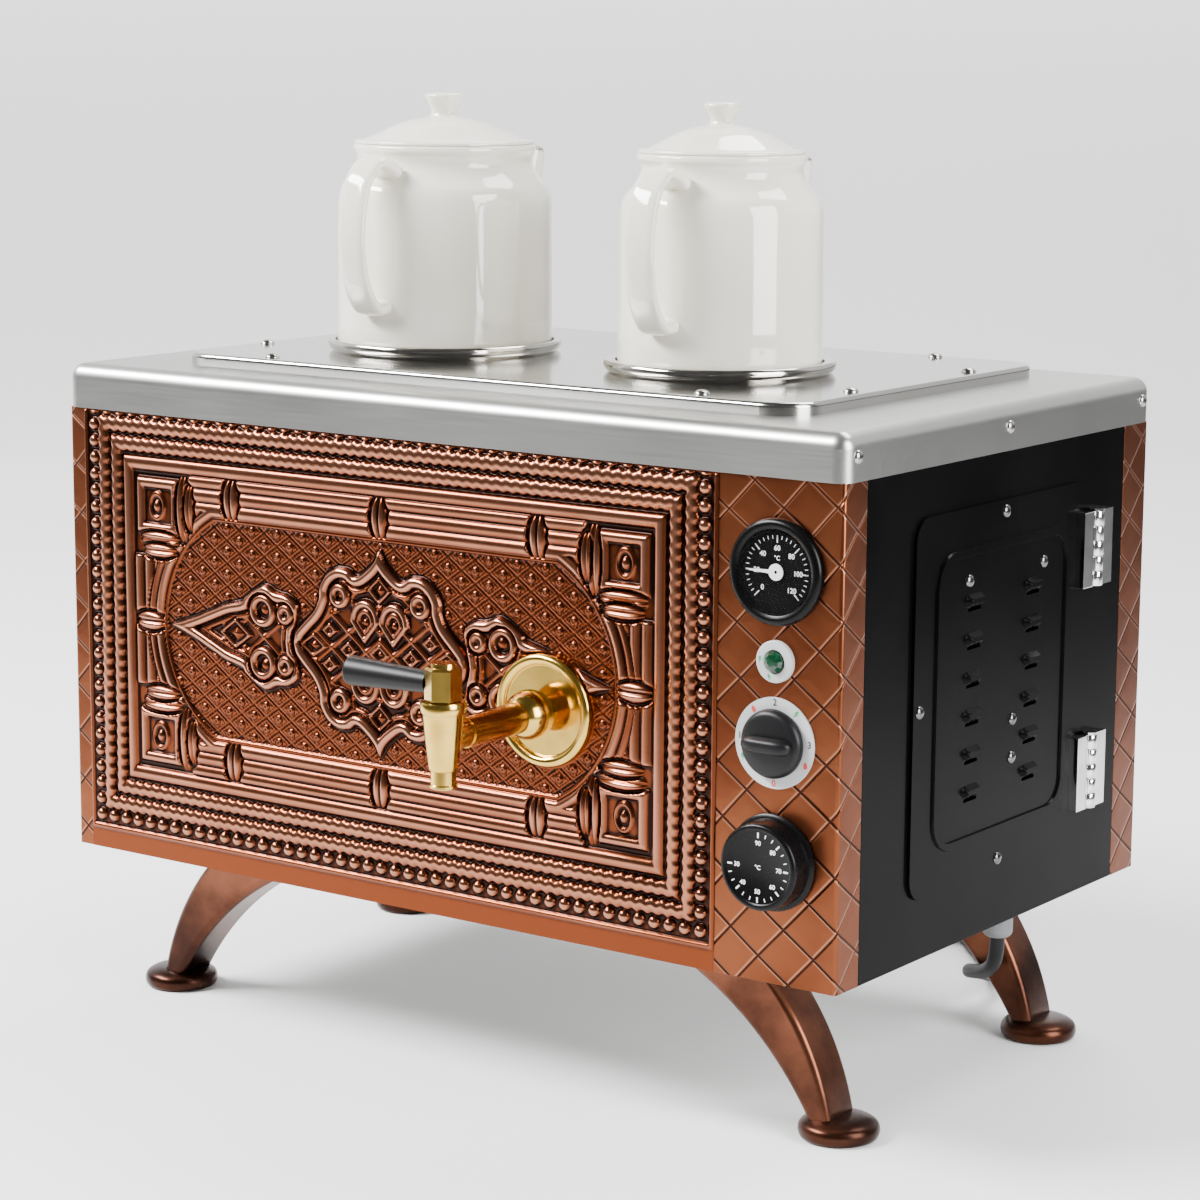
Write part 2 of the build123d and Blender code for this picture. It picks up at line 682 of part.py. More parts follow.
def spout_tube(index, wall):
    """Pot's spout without its bore, or the bore itself, inside it by the wall."""
    x, body_r = POT_X[index], POT_R[index]
    planes = [
        Plane(origin=(x, POT_Y + body_r - SPOUT_ROOT_R / 2, pot_z + SPOUT_ROOT),
              x_dir=(1, 0, 0), z_dir=(0, 0.8, 0.6)),
        Plane(origin=(x, POT_Y + body_r + SPOUT_REACH / 2, pot_z + (SPOUT_ROOT + POT_H) / 2),
              x_dir=(1, 0, 0), z_dir=(0, 0.38, 0.92)),
        Plane(origin=(x, POT_Y + body_r + SPOUT_REACH, rim_z - SPOUT_TIP_DROP),
              x_dir=(1, 0, 0), z_dir=(0, 0.5, 0.87)),
    ]
    with BuildPart() as tube:
        for plane, radius in zip(planes, (SPOUT_ROOT_R, SPOUT_MID_R, SPOUT_TIP_R)):
            with BuildSketch(plane):
                Circle(radius - wall)
        loft()
    return tube


def teapot(index):
    """White teapot's body, with the hole that leads to its spout."""
    block = pot_block(index)
    hollow = pot_profile(index, POT_WALL)
    bore = spout_tube(index, SPOUT_WALL)
    with BuildPart() as pot:
        add(block.part)
        add(hollow.sketch)
        revolve(axis=Axis((POT_X[index], POT_Y, 0), (0, 0, 1)), mode=Mode.SUBTRACT)
        add(bore.part, mode=Mode.SUBTRACT)
    return pot


def teapot_handle(index):
    """Strap handle at the front of a pot."""
    x, body_r, neck_r = POT_X[index], POT_R[index], NECK_R[index]
    block = pot_block(index)
    handle_y = POT_Y - body_r - HANDLE_REACH + HANDLE_T / 2
    handle_top = (x, POT_Y - neck_r + POT_WALL / 2, rim_z - HANDLE_TOP)
    handle_low = (x, POT_Y - body_r + POT_WALL / 2, pot_z + HANDLE_BOTTOM)
    with BuildPart() as handle:
        with BuildLine():
            FilletPolyline(
                handle_top,
                (x, handle_y, rim_z - HANDLE_TOP),
                (x, handle_y, pot_z + HANDLE_BOTTOM + HANDLE_BEND),
                handle_low,
                radius=HANDLE_BEND,
            )
        with BuildSketch(Plane(origin=handle_top, x_dir=(1, 0, 0), z_dir=(0, -1, 0))):
            Ellipse(HANDLE_W / 2, HANDLE_T / 2)
        sweep()
        add(block.part, mode=Mode.SUBTRACT)
    return handle


def teapot_spout(index):
    """Spout at the back of a pot."""
    block = pot_block(index)
    tube = spout_tube(index, 0)
    bore = spout_tube(index, SPOUT_WALL)
    with BuildPart() as spout:
        add(tube.part)
        add(bore.part, mode=Mode.SUBTRACT)
        add(block.part, mode=Mode.SUBTRACT)
    return spout


def pot_lid(index):
    """Domed lid with a knob, located by a skirt inside the pot's mouth."""
    x, neck_r = POT_X[index], NECK_R[index]
    knob_r, knob_h = KNOB_R[index], KNOB_H[index]
    mouth = neck_r - POT_WALL
    stem_r = 0.72 * knob_r
    knob_base = LID_RISE
    knob_top = knob_base + knob_h
    with BuildPart() as lid:
        with BuildSketch(Plane(origin=(x, POT_Y, rim_z), x_dir=(1, 0, 0), z_dir=(0, -1, 0))):
            with BuildLine():
                Line((0, POT_WALL), (mouth - 3 * LID_FIT - POT_WALL, 0))
                Line((mouth - 3 * LID_FIT - POT_WALL, 0), (mouth - 3 * LID_FIT - POT_WALL, -LID_SKIRT))
                Line((mouth - 3 * LID_FIT - POT_WALL, -LID_SKIRT), (mouth - LID_FIT, -LID_SKIRT))
                Line((mouth - LID_FIT, -LID_SKIRT), (mouth - LID_FIT, 0))
                Line((mouth - LID_FIT, 0), (neck_r - LID_FIT, 0))
                Line((neck_r - LID_FIT, 0), (neck_r - LID_FIT, POT_WALL / 2))
                Line((neck_r - LID_FIT, POT_WALL / 2), (neck_r - LID_EDGE, POT_WALL / 2))
                ThreePointArc(
                    (neck_r - LID_EDGE, POT_WALL / 2),
                    (0.55 * neck_r, 0.7 * LID_RISE),
                    (stem_r, knob_base),
                )
                ThreePointArc(
                    (stem_r, knob_base),
                    (knob_r, knob_base + 0.6 * knob_h),
                    (0.55 * knob_r, knob_top),
                )
                Line((0.55 * knob_r, knob_top), (0, knob_top))
                Line((0, knob_top), (0, POT_WALL))
            make_face()
        revolve(axis=Axis((x, POT_Y, 0), (0, 0, 1)))
    return lid


for index, side in enumerate(("left", "right")):
    pieces[f"pot_ring_{side}"] = pot_ring(index)
    pieces[f"teapot_{side}"] = teapot(index)
    pieces[f"teapot_handle_{side}"] = teapot_handle(index)
    pieces[f"teapot_spout_{side}"] = teapot_spout(index)
    pieces[f"pot_lid_{side}"] = pot_lid(index)

# Thermometer: case with bezel, dial with its pin, pointer and glass
with BuildPart() as thermometer_case:
    with BuildSketch(turned_front(control_x, thermometer_z)):
        case_r = DIAL_R + CASE_WALL
        with BuildLine():
            Polyline(
                (0, -CASE_DEPTH),
                (case_r, -CASE_DEPTH),
                (case_r, 0),
                (BEZEL_R, 0),
                (BEZEL_R, BEZEL_H / 2),
                (BEZEL_R - BEZEL_H / 2, BEZEL_H),
                (case_r + CLEAR, BEZEL_H),
                (case_r + CLEAR, GLASS_UP),
                (DIAL_R + CLEAR, GLASS_UP),
                (DIAL_R + CLEAR, DIAL_UP),
                (0, DIAL_UP),
                close=True,
            )
        make_face()
    revolve(axis=front_axis(control_x, thermometer_z))
pieces["thermometer_case"] = thermometer_case

with BuildPart() as thermometer_dial:
    with BuildSketch(facing_front(control_x, thermometer_z, y=front_y - DIAL_UP)):
        Circle(DIAL_R)
    extrude(amount=DIAL_T)
    with BuildSketch(facing_front(control_x, thermometer_z, y=front_y - DIAL_UP - DIAL_T)):
        Circle(POINTER_PIN_R)
    extrude(amount=POINTER_UP + POINTER_T - DIAL_UP - DIAL_T)
pieces["thermometer_dial"] = thermometer_dial

with BuildPart() as thermometer_pointer:
    with BuildSketch(facing_front(control_x, thermometer_z, y=front_y - POINTER_UP)):
        Circle(POINTER_HUB_R)
        with BuildLine():
            Polyline(
                (0, -POINTER_W / 2),
                (-POINTER_LENGTH, -POINTER_W / 8),
                (-POINTER_LENGTH, POINTER_W / 8),
                (0, POINTER_W / 2),
                close=True,
            )
        make_face()
        Circle(POINTER_PIN_R + RUN, mode=Mode.SUBTRACT)
    extrude(amount=POINTER_T)
pieces["thermometer_pointer"] = thermometer_pointer

with BuildPart() as thermometer_glass:
    with BuildSketch(facing_front(control_x, thermometer_z, y=front_y - GLASS_UP)):
        Circle(DIAL_R + CASE_WALL)
    extrude(amount=GLASS_T)
pieces["thermometer_glass"] = thermometer_glass

# Pilot lamp
with BuildPart() as pilot_bezel:
    with BuildSketch(facing_front(control_x, pilot_z)):
        Circle(PILOT_R)
        Circle(LENS_R + CLEAR, mode=Mode.SUBTRACT)
    extrude(amount=PILOT_H)
    fillet(pilot_bezel.edges().group_by(Axis.Y)[0], PILOT_H / 4)
pieces["pilot_bezel"] = pilot_bezel

with BuildPart() as pilot_lens:
    with BuildSketch(turned_front(control_x, pilot_z)):
        with BuildLine():
            Polyline((LENS_R, PILOT_H), (LENS_R, 0), (LAMP_R, 0), (LAMP_R, -LAMP_DEPTH), (0, -LAMP_DEPTH),
                     (0, LENS_H))
            ThreePointArc((0, LENS_H), (0.7 * LENS_R, PILOT_H + 0.7 * (LENS_H - PILOT_H)), (LENS_R, PILOT_H))
        make_face()
    revolve(axis=front_axis(control_x, pilot_z))
pieces["pilot_lens"] = pilot_lens

# Selector: plate, switch and knob with its shaft
with BuildPart() as selector_plate:
    with BuildSketch(facing_front(control_x, selector_z)):
        Circle(SELECTOR_PLATE_R)
        Circle(BUSH_R + CLEAR, mode=Mode.SUBTRACT)
    extrude(amount=SELECTOR_PLATE_T)
pieces["selector_plate"] = selector_plate

with BuildPart() as selector_switch:
    with BuildSketch(facing_front(control_x, selector_z, y=front_y + SHEET)):
        Rectangle(SWITCH_W, SWITCH_W)
    extrude(amount=-SWITCH_DEPTH)
    with BuildSketch(facing_front(control_x, selector_z, y=front_y + SHEET)):
        Circle(BUSH_R)
    extrude(amount=SHEET + SELECTOR_PLATE_T)
    with BuildSketch(facing_front(control_x, selector_z, y=front_y - SELECTOR_PLATE_T)):
        Circle(SHAFT_R + RUN)
    extrude(amount=-SHAFT_DEPTH - SHEET - SELECTOR_PLATE_T - CLEAR, mode=Mode.SUBTRACT)
pieces["selector_switch"] = selector_switch

with BuildPart() as selector_knob:
    with BuildSketch(facing_front(control_x, selector_z, y=front_y - SELECTOR_PLATE_T - KNOB_GAP)):
        Circle(SELECTOR_R)
    extrude(amount=SELECTOR_BASE_H)
    with BuildSketch(facing_front(control_x, selector_z, y=front_y - SELECTOR_PLATE_T - KNOB_GAP)):
        SlotOverall(2 * SELECTOR_R - SELECTOR_GRIP_W / 3, SELECTOR_GRIP_W)
    extrude(amount=SELECTOR_H)
    fillet(selector_knob.edges().group_by(Axis.Y)[0], SELECTOR_GRIP_W / 5)
    with BuildSketch(facing_front(control_x, selector_z, y=front_y - SELECTOR_PLATE_T - KNOB_GAP)):
        Circle(SHAFT_R)
    extrude(amount=-SHAFT_DEPTH - SHEET - SELECTOR_PLATE_T + KNOB_GAP)
pieces["selector_knob"] = selector_knob

# Thermostat: body with its bush, and knob with its shaft
with BuildPart() as thermostat_body:
    with BuildSketch(facing_front(control_x, thermostat_z, y=front_y + SHEET)):
        Circle(THERMOSTAT_BODY_R)
    extrude(amount=-THERMOSTAT_BODY_DEPTH)
    with BuildSketch(facing_front(control_x, thermostat_z, y=front_y + SHEET)):
        Circle(BUSH_R)
    extrude(amount=SHEET)
    with BuildSketch(facing_front(control_x, thermostat_z)):
        Circle(SHAFT_R + RUN)
    extrude(amount=-SHAFT_DEPTH - SHEET - CLEAR, mode=Mode.SUBTRACT)
pieces["thermostat_body"] = thermostat_body

with BuildPart() as thermostat_knob:
    with BuildSketch(turned_front(control_x, thermostat_z)):
        with BuildLine():
            Polyline(
                (0, -SHAFT_DEPTH - SHEET + KNOB_GAP),
                (SHAFT_R, -SHAFT_DEPTH - SHEET + KNOB_GAP),
                (SHAFT_R, KNOB_GAP),
                (THERMOSTAT_R, KNOB_GAP),
                (THERMOSTAT_R, THERMOSTAT_SKIRT_H),
                (THERMOSTAT_WAIST_R, 2 * THERMOSTAT_SKIRT_H),
                (THERMOSTAT_TOP_R, THERMOSTAT_H - THERMOSTAT_SKIRT_H),
                (THERMOSTAT_TOP_R - THERMOSTAT_SKIRT_H, THERMOSTAT_H),
                (0, THERMOSTAT_H),
                close=True,
            )
        make_face()
    revolve(axis=front_axis(control_x, thermostat_z))
pieces["thermostat_knob"] = thermostat_knob

# Tap: rosette, pipe with its collar, locknut, valve body, plug, lever and grip
with BuildPart() as tap_rosette:
    with BuildSketch(turned_front(TAP_X, tap_z)):
        with BuildLine():
            rim_in = ROSETTE_R - ROSETTE_H
            Polyline((tap_hole_r, ROSETTE_DISH), (tap_hole_r, 0), (ROSETTE_R, 0))
            ThreePointArc((ROSETTE_R, 0), ((ROSETTE_R + rim_in) / 2, ROSETTE_H), (rim_in, ROSETTE_DISH))
            Line((rim_in, ROSETTE_DISH), (tap_hole_r, ROSETTE_DISH))
        make_face()
    revolve(axis=front_axis(TAP_X, tap_z))
pieces["tap_rosette"] = tap_rosette

tank_front = COVER_Y - tank_d / 2
pipe_inner_end = tank_front + LOCKNUT_T + SHEET
stub_face = tap_y + STUB_L
with BuildPart() as tap_pipe:
    with BuildSketch(turned_front(TAP_X, tap_z)):
        with BuildLine():
            Polyline(
                (PIPE_BORE, front_y - stub_face),
                (PIPE_BORE, front_y - pipe_inner_end),
                (PIPE_R, front_y - pipe_inner_end),
                (PIPE_R, COLLAR_AT),
                (COLLAR_R - 1, COLLAR_AT),
            )
            ThreePointArc(
                (COLLAR_R - 1, COLLAR_AT),
                (COLLAR_R, COLLAR_AT + COLLAR_L / 4),
                (PIPE_R + 1, COLLAR_AT + COLLAR_L),
            )
            Polyline(
                (PIPE_R + 1, COLLAR_AT + COLLAR_L),
                (STUB_R, front_y - stub_face),
                (PIPE_BORE, front_y - stub_face),
            )
        make_face()
    revolve(axis=front_axis(TAP_X, tap_z))
pieces["tap_pipe"] = tap_pipe

with BuildPart() as tap_locknut:
    with BuildSketch(facing_front(TAP_X, tap_z, y=tank_front)):
        RegularPolygon(LOCKNUT_R, 6)
        Circle(PIPE_R + CLEAR, mode=Mode.SUBTRACT)
    extrude(amount=-LOCKNUT_T)
pieces["tap_locknut"] = tap_locknut

valve_axis = Axis((TAP_X, tap_y, 0), (0, 0, 1))
valve_top = tap_z + VALVE_UP
with BuildPart() as tap_body:
    with BuildSketch(Plane(origin=(TAP_X, tap_y, tap_z), x_dir=(1, 0, 0), z_dir=(0, -1, 0))):
        with BuildLine():
            Polyline(
                (0, VALVE_UP),
                (VALVE_R, VALVE_UP),
                (VALVE_R, VALVE_TAPER_UP),
                (VALVE_FOOT_R, -VALVE_TAPER_DOWN),
                (OUTLET_R, -VALVE_TAPER_DOWN),
                (OUTLET_R, -OUTLET_DOWN),
                (0, -OUTLET_DOWN),
                close=True,
            )
        make_face()
    revolve(axis=valve_axis)
    with BuildSketch(facing_front(TAP_X, tap_z, y=stub_face)):
        Circle(STUB_R)
    extrude(amount=STUB_L)
    with BuildSketch(Plane.XY.offset(valve_top)):
        with Locations((TAP_X, tap_y)):
            Circle(PLUG_R + RUN)
    extrude(amount=-VALVE_UP - PLUG_DOWN - CLEAR, mode=Mode.SUBTRACT)
    with BuildSketch(Plane.XY.offset(tap_z)):
        with Locations((TAP_X, tap_y)):
            Circle(PIPE_BORE)
    extrude(amount=-OUTLET_DOWN, mode=Mode.SUBTRACT)
    with BuildSketch(facing_front(TAP_X, tap_z, y=stub_face)):
        Circle(PIPE_BORE)
    extrude(amount=STUB_L, mode=Mode.SUBTRACT)
pieces["tap_body"] = tap_body

with BuildPart() as tap_plug:
    with BuildSketch(Plane.XY.offset(tap_z - PLUG_DOWN)):
        with Locations((TAP_X, tap_y)):
            Circle(PLUG_R)
    extrude(amount=PLUG_DOWN + VALVE_UP + HEAD_GAP)
    with BuildSketch(Plane.XY.offset(valve_top + HEAD_GAP)):
        with Locations((TAP_X, tap_y)):
            RegularPolygon(HEX_FLATS / 2, 6, major_radius=False, rotation=30)
    extrude(amount=HEX_H)
    chamfer(tap_plug.edges().group_by(Axis.Z)[-1], HEX_NUB_H / 2)
    with BuildSketch(Plane.XY.offset(valve_top + HEAD_GAP + HEX_H)):
        with Locations((TAP_X, tap_y)):
            Circle(HEX_NUB_R)
    extrude(amount=HEX_NUB_H)
    with BuildSketch(Plane.XY.offset(tap_z - PLUG_DOWN)):
        with Locations((TAP_X, tap_y)):
            Circle(PORT_R)
    extrude(amount=PLUG_DOWN, mode=Mode.SUBTRACT)
    with BuildSketch(facing_right(tap_y, tap_z, x=TAP_X)):
        Circle(PORT_R)
    extrude(amount=PLUG_R, mode=Mode.SUBTRACT)
pieces["tap_plug"] = tap_plug

lever_z = valve_top + LEVER_UP
hex_flat = TAP_X - HEX_FLATS / 2
with BuildPart() as tap_lever:
    with BuildSketch(facing_right(tap_y, lever_z, x=hex_flat)):
        Circle(LEVER_R)
    extrude(amount=-LEVER_L)
pieces["tap_lever"] = tap_lever

grip_start = hex_flat - GRIP_GAP
grip_end = TAP_X - GRIP_END
with BuildPart() as tap_grip:
    with BuildSketch(facing_right(tap_y, lever_z, x=grip_start)):
        Circle(GRIP_R_NEAR)
    with BuildSketch(facing_right(tap_y, lever_z, x=grip_end)):
        Circle(GRIP_R_FAR)
    loft()
    fillet(tap_grip.edges().sort_by(Axis.X)[0], GRIP_R_NEAR / 3)
    with BuildSketch(facing_right(tap_y, lever_z, x=grip_start)):
        Circle(LEVER_R + RUN)
    extrude(amount=-LEVER_L, mode=Mode.SUBTRACT)
pieces["tap_grip"] = tap_grip

# Electric heater, screwed into the tank's right wall
heater_x = tank_w / 2 + SHEET
with BuildPart() as heating_element:
    with BuildSketch(facing_right(HEATER_Y, heater_z, x=heater_x)):
        Circle(HEATER_FLANGE_R)
    extrude(amount=HEATER_FLANGE_T)
    with BuildSketch(facing_right(HEATER_Y, heater_z, x=heater_x + HEATER_FLANGE_T)):
        Circle(HEATER_CAP_R)
    extrude(amount=HEATER_CAP_L)
    with BuildSketch(facing_right(HEATER_Y, heater_z, x=heater_x)):
        Circle(HEATER_PLUG_R)
    extrude(amount=-2 * SHEET)
    with BuildLine():
        half_pitch = HEATER_PITCH / 2
        rod_end = HEATER_END + HEATER_R + half_pitch - tank_w / 2
        Line((heater_x, HEATER_Y - half_pitch, heater_z), (rod_end, HEATER_Y - half_pitch, heater_z))
        ThreePointArc(
            (rod_end, HEATER_Y - half_pitch, heater_z),
            (rod_end - half_pitch, HEATER_Y, heater_z),
            (rod_end, HEATER_Y + half_pitch, heater_z),
        )
        Line((rod_end, HEATER_Y + half_pitch, heater_z), (heater_x, HEATER_Y + half_pitch, heater_z))
    with BuildSketch(Plane(origin=(heater_x, HEATER_Y - half_pitch, heater_z), z_dir=(-1, 0, 0))):
        Circle(HEATER_R)
    sweep()
pieces["heating_element"] = heating_element

# Gas burner on the pan, its pipe and its threaded inlet
burner_z = floor_z + BURNER_UP
with BuildPart() as burner:
    with BuildSketch(Plane.XY.offset(floor_z)):
        Circle(BURNER_POST_R)
    extrude(amount=BURNER_UP)
    with BuildSketch(Plane.XY.offset(burner_z)):
        Circle(BURNER_R)
    extrude(amount=BURNER_H)
    fillet(burner.edges().group_by(Axis.Z)[-1], BURNER_H / 5)
    with BuildSketch(Plane.XY.offset(burner_z + BURNER_H)):
        with PolarLocations(0.75 * BURNER_R, PORTS):
            Circle(BURNER_PORT_R)
    extrude(amount=-BURNER_H / 2, mode=Mode.SUBTRACT)
    with BuildSketch(facing_right(0, gas_z, x=0)):
        Circle(MIXER_R)
    extrude(amount=mixer_l)
pieces["burner"] = burner

gas_start_y = back_y - SHEET - GAS_INSIDE_L
with BuildPart() as gas_pipe:
    with BuildLine():
        FilletPolyline((gas_x, gas_start_y, gas_z), (gas_x, 0, gas_z), (mixer_l, 0, gas_z), radius=GAS_BEND)
    with BuildSketch(Plane(origin=(gas_x, gas_start_y, gas_z), z_dir=(0, -1, 0))):
        Circle(GAS_R)
    sweep()
pieces["gas_pipe"] = gas_pipe

with BuildPart() as gas_inlet:
    with BuildSketch(facing_front(gas_x, gas_z, y=gas_start_y)):
        Circle(GAS_THREAD_R)
    extrude(amount=-GAS_INSIDE_L - SHEET - GAS_HEX_T - GAS_THREAD_L)
    with BuildSketch(facing_front(gas_x, gas_z, y=back_y)):
        RegularPolygon(GAS_HEX_FLATS / 2, 6, major_radius=False)
    extrude(amount=-GAS_HEX_T)
    with BuildSketch(facing_front(gas_x, gas_z, y=back_y + GAS_HEX_T + GAS_THREAD_L)):
        Circle(GAS_BORE_R)
    extrude(amount=GAS_THREAD_L + GAS_HEX_T, mode=Mode.SUBTRACT)
pieces["gas_inlet"] = gas_inlet

# Side door with its rib, gills, liner and screws
door_face = door_x + DOOR_T
liner_w = opening_w - 2 * LINER_INSET
liner_h = opening_h - 2 * LINER_INSET
with BuildPart() as door:
    with BuildSketch(facing_right(DOOR_Y, door_z, x=door_x)):
        RectangleRounded(DOOR_W, door_h, DOOR_R)
    extrude(amount=DOOR_T)
    with BuildSketch(facing_right(DOOR_Y, door_z, x=door_face)):
        RectangleRounded(DOOR_W - 2 * RIB_INSET, door_h - 2 * RIB_INSET, RIB_R)
        RectangleRounded(
            DOOR_W - 2 * RIB_INSET - 2 * RIB_W,
            door_h - 2 * RIB_INSET - 2 * RIB_W,
            RIB_R - RIB_W,
            mode=Mode.SUBTRACT,
        )
    extrude(amount=RIB_H, taper=20)
    with BuildSketch(facing_right(DOOR_Y, door_z, x=door_face)):
        with GridLocations(LOUVRE_GAP, LOUVRE_PITCH, 2, louvre_rows):
            SlotOverall(LOUVRE_W, LOUVRE_H)
    extrude(amount=LOUVRE_RISE, taper=LOUVRE_TAPER)
    with BuildSketch(facing_right(DOOR_Y, door_z, x=door_x)):
        with Locations((0, -LOUVRE_H / 2 - LOUVRE_SLOT / 2)):
            with GridLocations(LOUVRE_GAP, LOUVRE_PITCH, 2, louvre_rows):
                SlotOverall(LOUVRE_W - LOUVRE_H / 2, LOUVRE_SLOT)
    extrude(amount=DOOR_T, mode=Mode.SUBTRACT)
    with BuildSketch(facing_right(DOOR_Y, door_z, x=door_x)):
        edge_screws = [
            (0, door_h / 2 - DOOR_EDGE_SCREW),
            (0, DOOR_EDGE_SCREW - door_h / 2),
            (DOOR_EDGE_SCREW - DOOR_W / 2, 0),
        ]
        liner_screws = [(y, liner_h / 2 - DOOR_TOP_SCREW_DROP) for y in DOOR_TOP_SCREWS]
        liner_screws += [(DOOR_MID_SCREW_Y, z) for z in DOOR_MID_SCREWS]
        with Locations(*edge_screws, *liner_screws):
            Circle(DOOR_SCREW_R + CLEAR)
    extrude(amount=DOOR_T, mode=Mode.SUBTRACT)
pieces["door"] = door

with BuildPart() as door_liner:
    with BuildSketch(facing_right(DOOR_Y, door_z, x=door_x)):
        RectangleRounded(liner_w, liner_h, DOOR_R / 2)
    extrude(amount=-LINER_DEPTH)
    offset(amount=-SHEET, openings=door_liner.faces().sort_by(Axis.X)[-1])
    with BuildSketch(facing_right(DOOR_Y, door_z, x=door_x)):
        with Locations(*liner_screws):
            Circle(DOOR_SCREW_R + CLEAR)
    extrude(amount=-LINER_DEPTH, mode=Mode.SUBTRACT)
pieces["door_liner"] = door_liner

with BuildPart() as door_screws:
    with BuildSketch(facing_right(DOOR_Y, door_z, x=door_face)):
        with Locations(*edge_screws, *liner_screws):
            Circle(DOOR_SCREW_HEAD_R)
    extrude(amount=DOOR_SCREW_HEAD_H, taper=25)
    with BuildSketch(facing_right(DOOR_Y, door_z, x=door_face)):
        with Locations(*edge_screws):
            Circle(DOOR_SCREW_R)
    extrude(amount=-DOOR_T)
    with BuildSketch(facing_right(DOOR_Y, door_z, x=door_face)):
        with Locations(*liner_screws):
            Circle(DOOR_SCREW_R)
    extrude(amount=-DOOR_T - LINER_DEPTH)
pieces["door_screws"] = door_screws

# Hinges: leaves with alternate knuckles, and their pins
hinge_reach = door_h / 2 - HINGE_INSET
hinge_heights = (door_z - hinge_reach, door_z + hinge_reach)
knuckle = HINGE_H / HINGE_KNUCKLES
leaf_start = HINGE_BARREL_R + HINGE_LEAF_GAP


def hinge_leaves(toward, seat_x, first):
    """Both hinges' leaves on one side of the pin, with every second knuckle."""
    with BuildPart() as leaves:
        for middle in hinge_heights:
            low = middle - HINGE_H / 2
            with BuildSketch(Plane.XY.offset(low)):
                with Locations((seat_x, hinge_y + toward * leaf_start)):
                    Rectangle(
                        right_x + HINGE_LEAF_OUT - seat_x,
                        HINGE_LEAF,
                        align=(Align.MIN, Align.MIN if toward > 0 else Align.MAX),
                    )
            extrude(amount=HINGE_H)
            for number in range(first, HINGE_KNUCKLES, 2):
                with BuildSketch(Plane.XY.offset(low + number * knuckle + HINGE_KNUCKLE_GAP)):
                    with Locations((hinge_x, hinge_y)):
                        Circle(HINGE_BARREL_R)
                        with Locations((0, toward * (leaf_start + SHEET) / 2)):
                            Rectangle(HINGE_BARREL_R, leaf_start + SHEET)
                extrude(amount=knuckle - 2 * HINGE_KNUCKLE_GAP)
            with BuildSketch(Plane.XY.offset(low)):
                with Locations((hinge_x, hinge_y)):
                    Circle(HINGE_PIN_R + RUN)
            extrude(amount=HINGE_H, mode=Mode.SUBTRACT)
    return leaves


pieces["hinge_frame_leaves"] = hinge_leaves(1, right_x, 0)
pieces["hinge_door_leaves"] = hinge_leaves(-1, door_face, 1)

with BuildPart() as hinge_pins:
    for middle in hinge_heights:
        with BuildSketch(Plane.XY.offset(middle - HINGE_H / 2)):
            with Locations((hinge_x, hinge_y)):
                Circle(HINGE_PIN_R)
        extrude(amount=HINGE_H)
        with BuildSketch(Plane.XY.offset(middle + HINGE_H / 2)):
            with Locations((hinge_x, hinge_y)):
                Circle(HINGE_BARREL_R)
        extrude(amount=HINGE_PIN_HEAD)
pieces["hinge_pins"] = hinge_pins


def leg(side, end):
    """Cast leg that splays outwards from the pan to its foot."""
    seat_z = FOOT_H - FOOT_CUP
    outer = [side * (foot_x + dx) for dx in LEG_OUT]
    inner = [side * (foot_x + dx) for dx in LEG_IN]
    with BuildPart() as casting:
        with BuildSketch(facing_front(0, 0, y=end * foot_y)):
            with BuildLine():
                Line((inner[0], seat_z), (outer[0], seat_z))
                ThreePointArc((outer[0], seat_z), (outer[1], LEG_KNEE_OUT), (outer[2], base_z))
                Line((outer[2], base_z), (inner[2], base_z))
                ThreePointArc((inner[2], base_z), (inner[1], LEG_KNEE_IN), (inner[0], seat_z))
            make_face()
        extrude(amount=LEG_T / 2, both=True)
        fillet(casting.edges().filter_by(GeomType.CIRCLE), LEG_EDGE_R)
        with BuildSketch(Plane.XY.offset(base_z)):
            with Locations(*[(side * (foot_x + dx), end * foot_y) for dx in LEG_BOLTS]):
                Circle(LEG_BOLT_R + CLEAR)
        extrude(amount=-LEG_BOLT_L, mode=Mode.SUBTRACT)
    return casting


castings = [leg(side, end) for side, end in corners]
with BuildPart() as legs:
    for casting in castings:
        add(casting.part)
pieces["legs"] = legs

with BuildPart() as leg_bolts:
    with BuildSketch(Plane.XY.offset(floor_z)):
        with Locations(*leg_bolt_xy):
            RegularPolygon(BOLT_HEAD_R, 6)
    extrude(amount=BOLT_HEAD_H)
    with BuildSketch(Plane.XY.offset(floor_z)):
        with Locations(*leg_bolt_xy):
            Circle(LEG_BOLT_R)
    extrude(amount=-SHEET - LEG_BOLT_L + CLEAR)
pieces["leg_bolts"] = leg_bolts

with BuildPart() as feet:
    with BuildSketch(Plane.XY):
        with Locations(*feet_xy):
            Circle(FOOT_R)
    extrude(amount=FOOT_H)
    fillet(feet.edges().group_by(Axis.Z)[-1], FOOT_ROUND - CLEAR)
    fillet(feet.edges().group_by(Axis.Z)[0], FOOT_ROUND)
    with BuildSketch(Plane.XY.offset(FOOT_H)):
        with Locations(*feet_xy):
            Circle(FOOT_CUP_R)
    extrude(amount=-FOOT_CUP, mode=Mode.SUBTRACT)
pieces["feet"] = feet

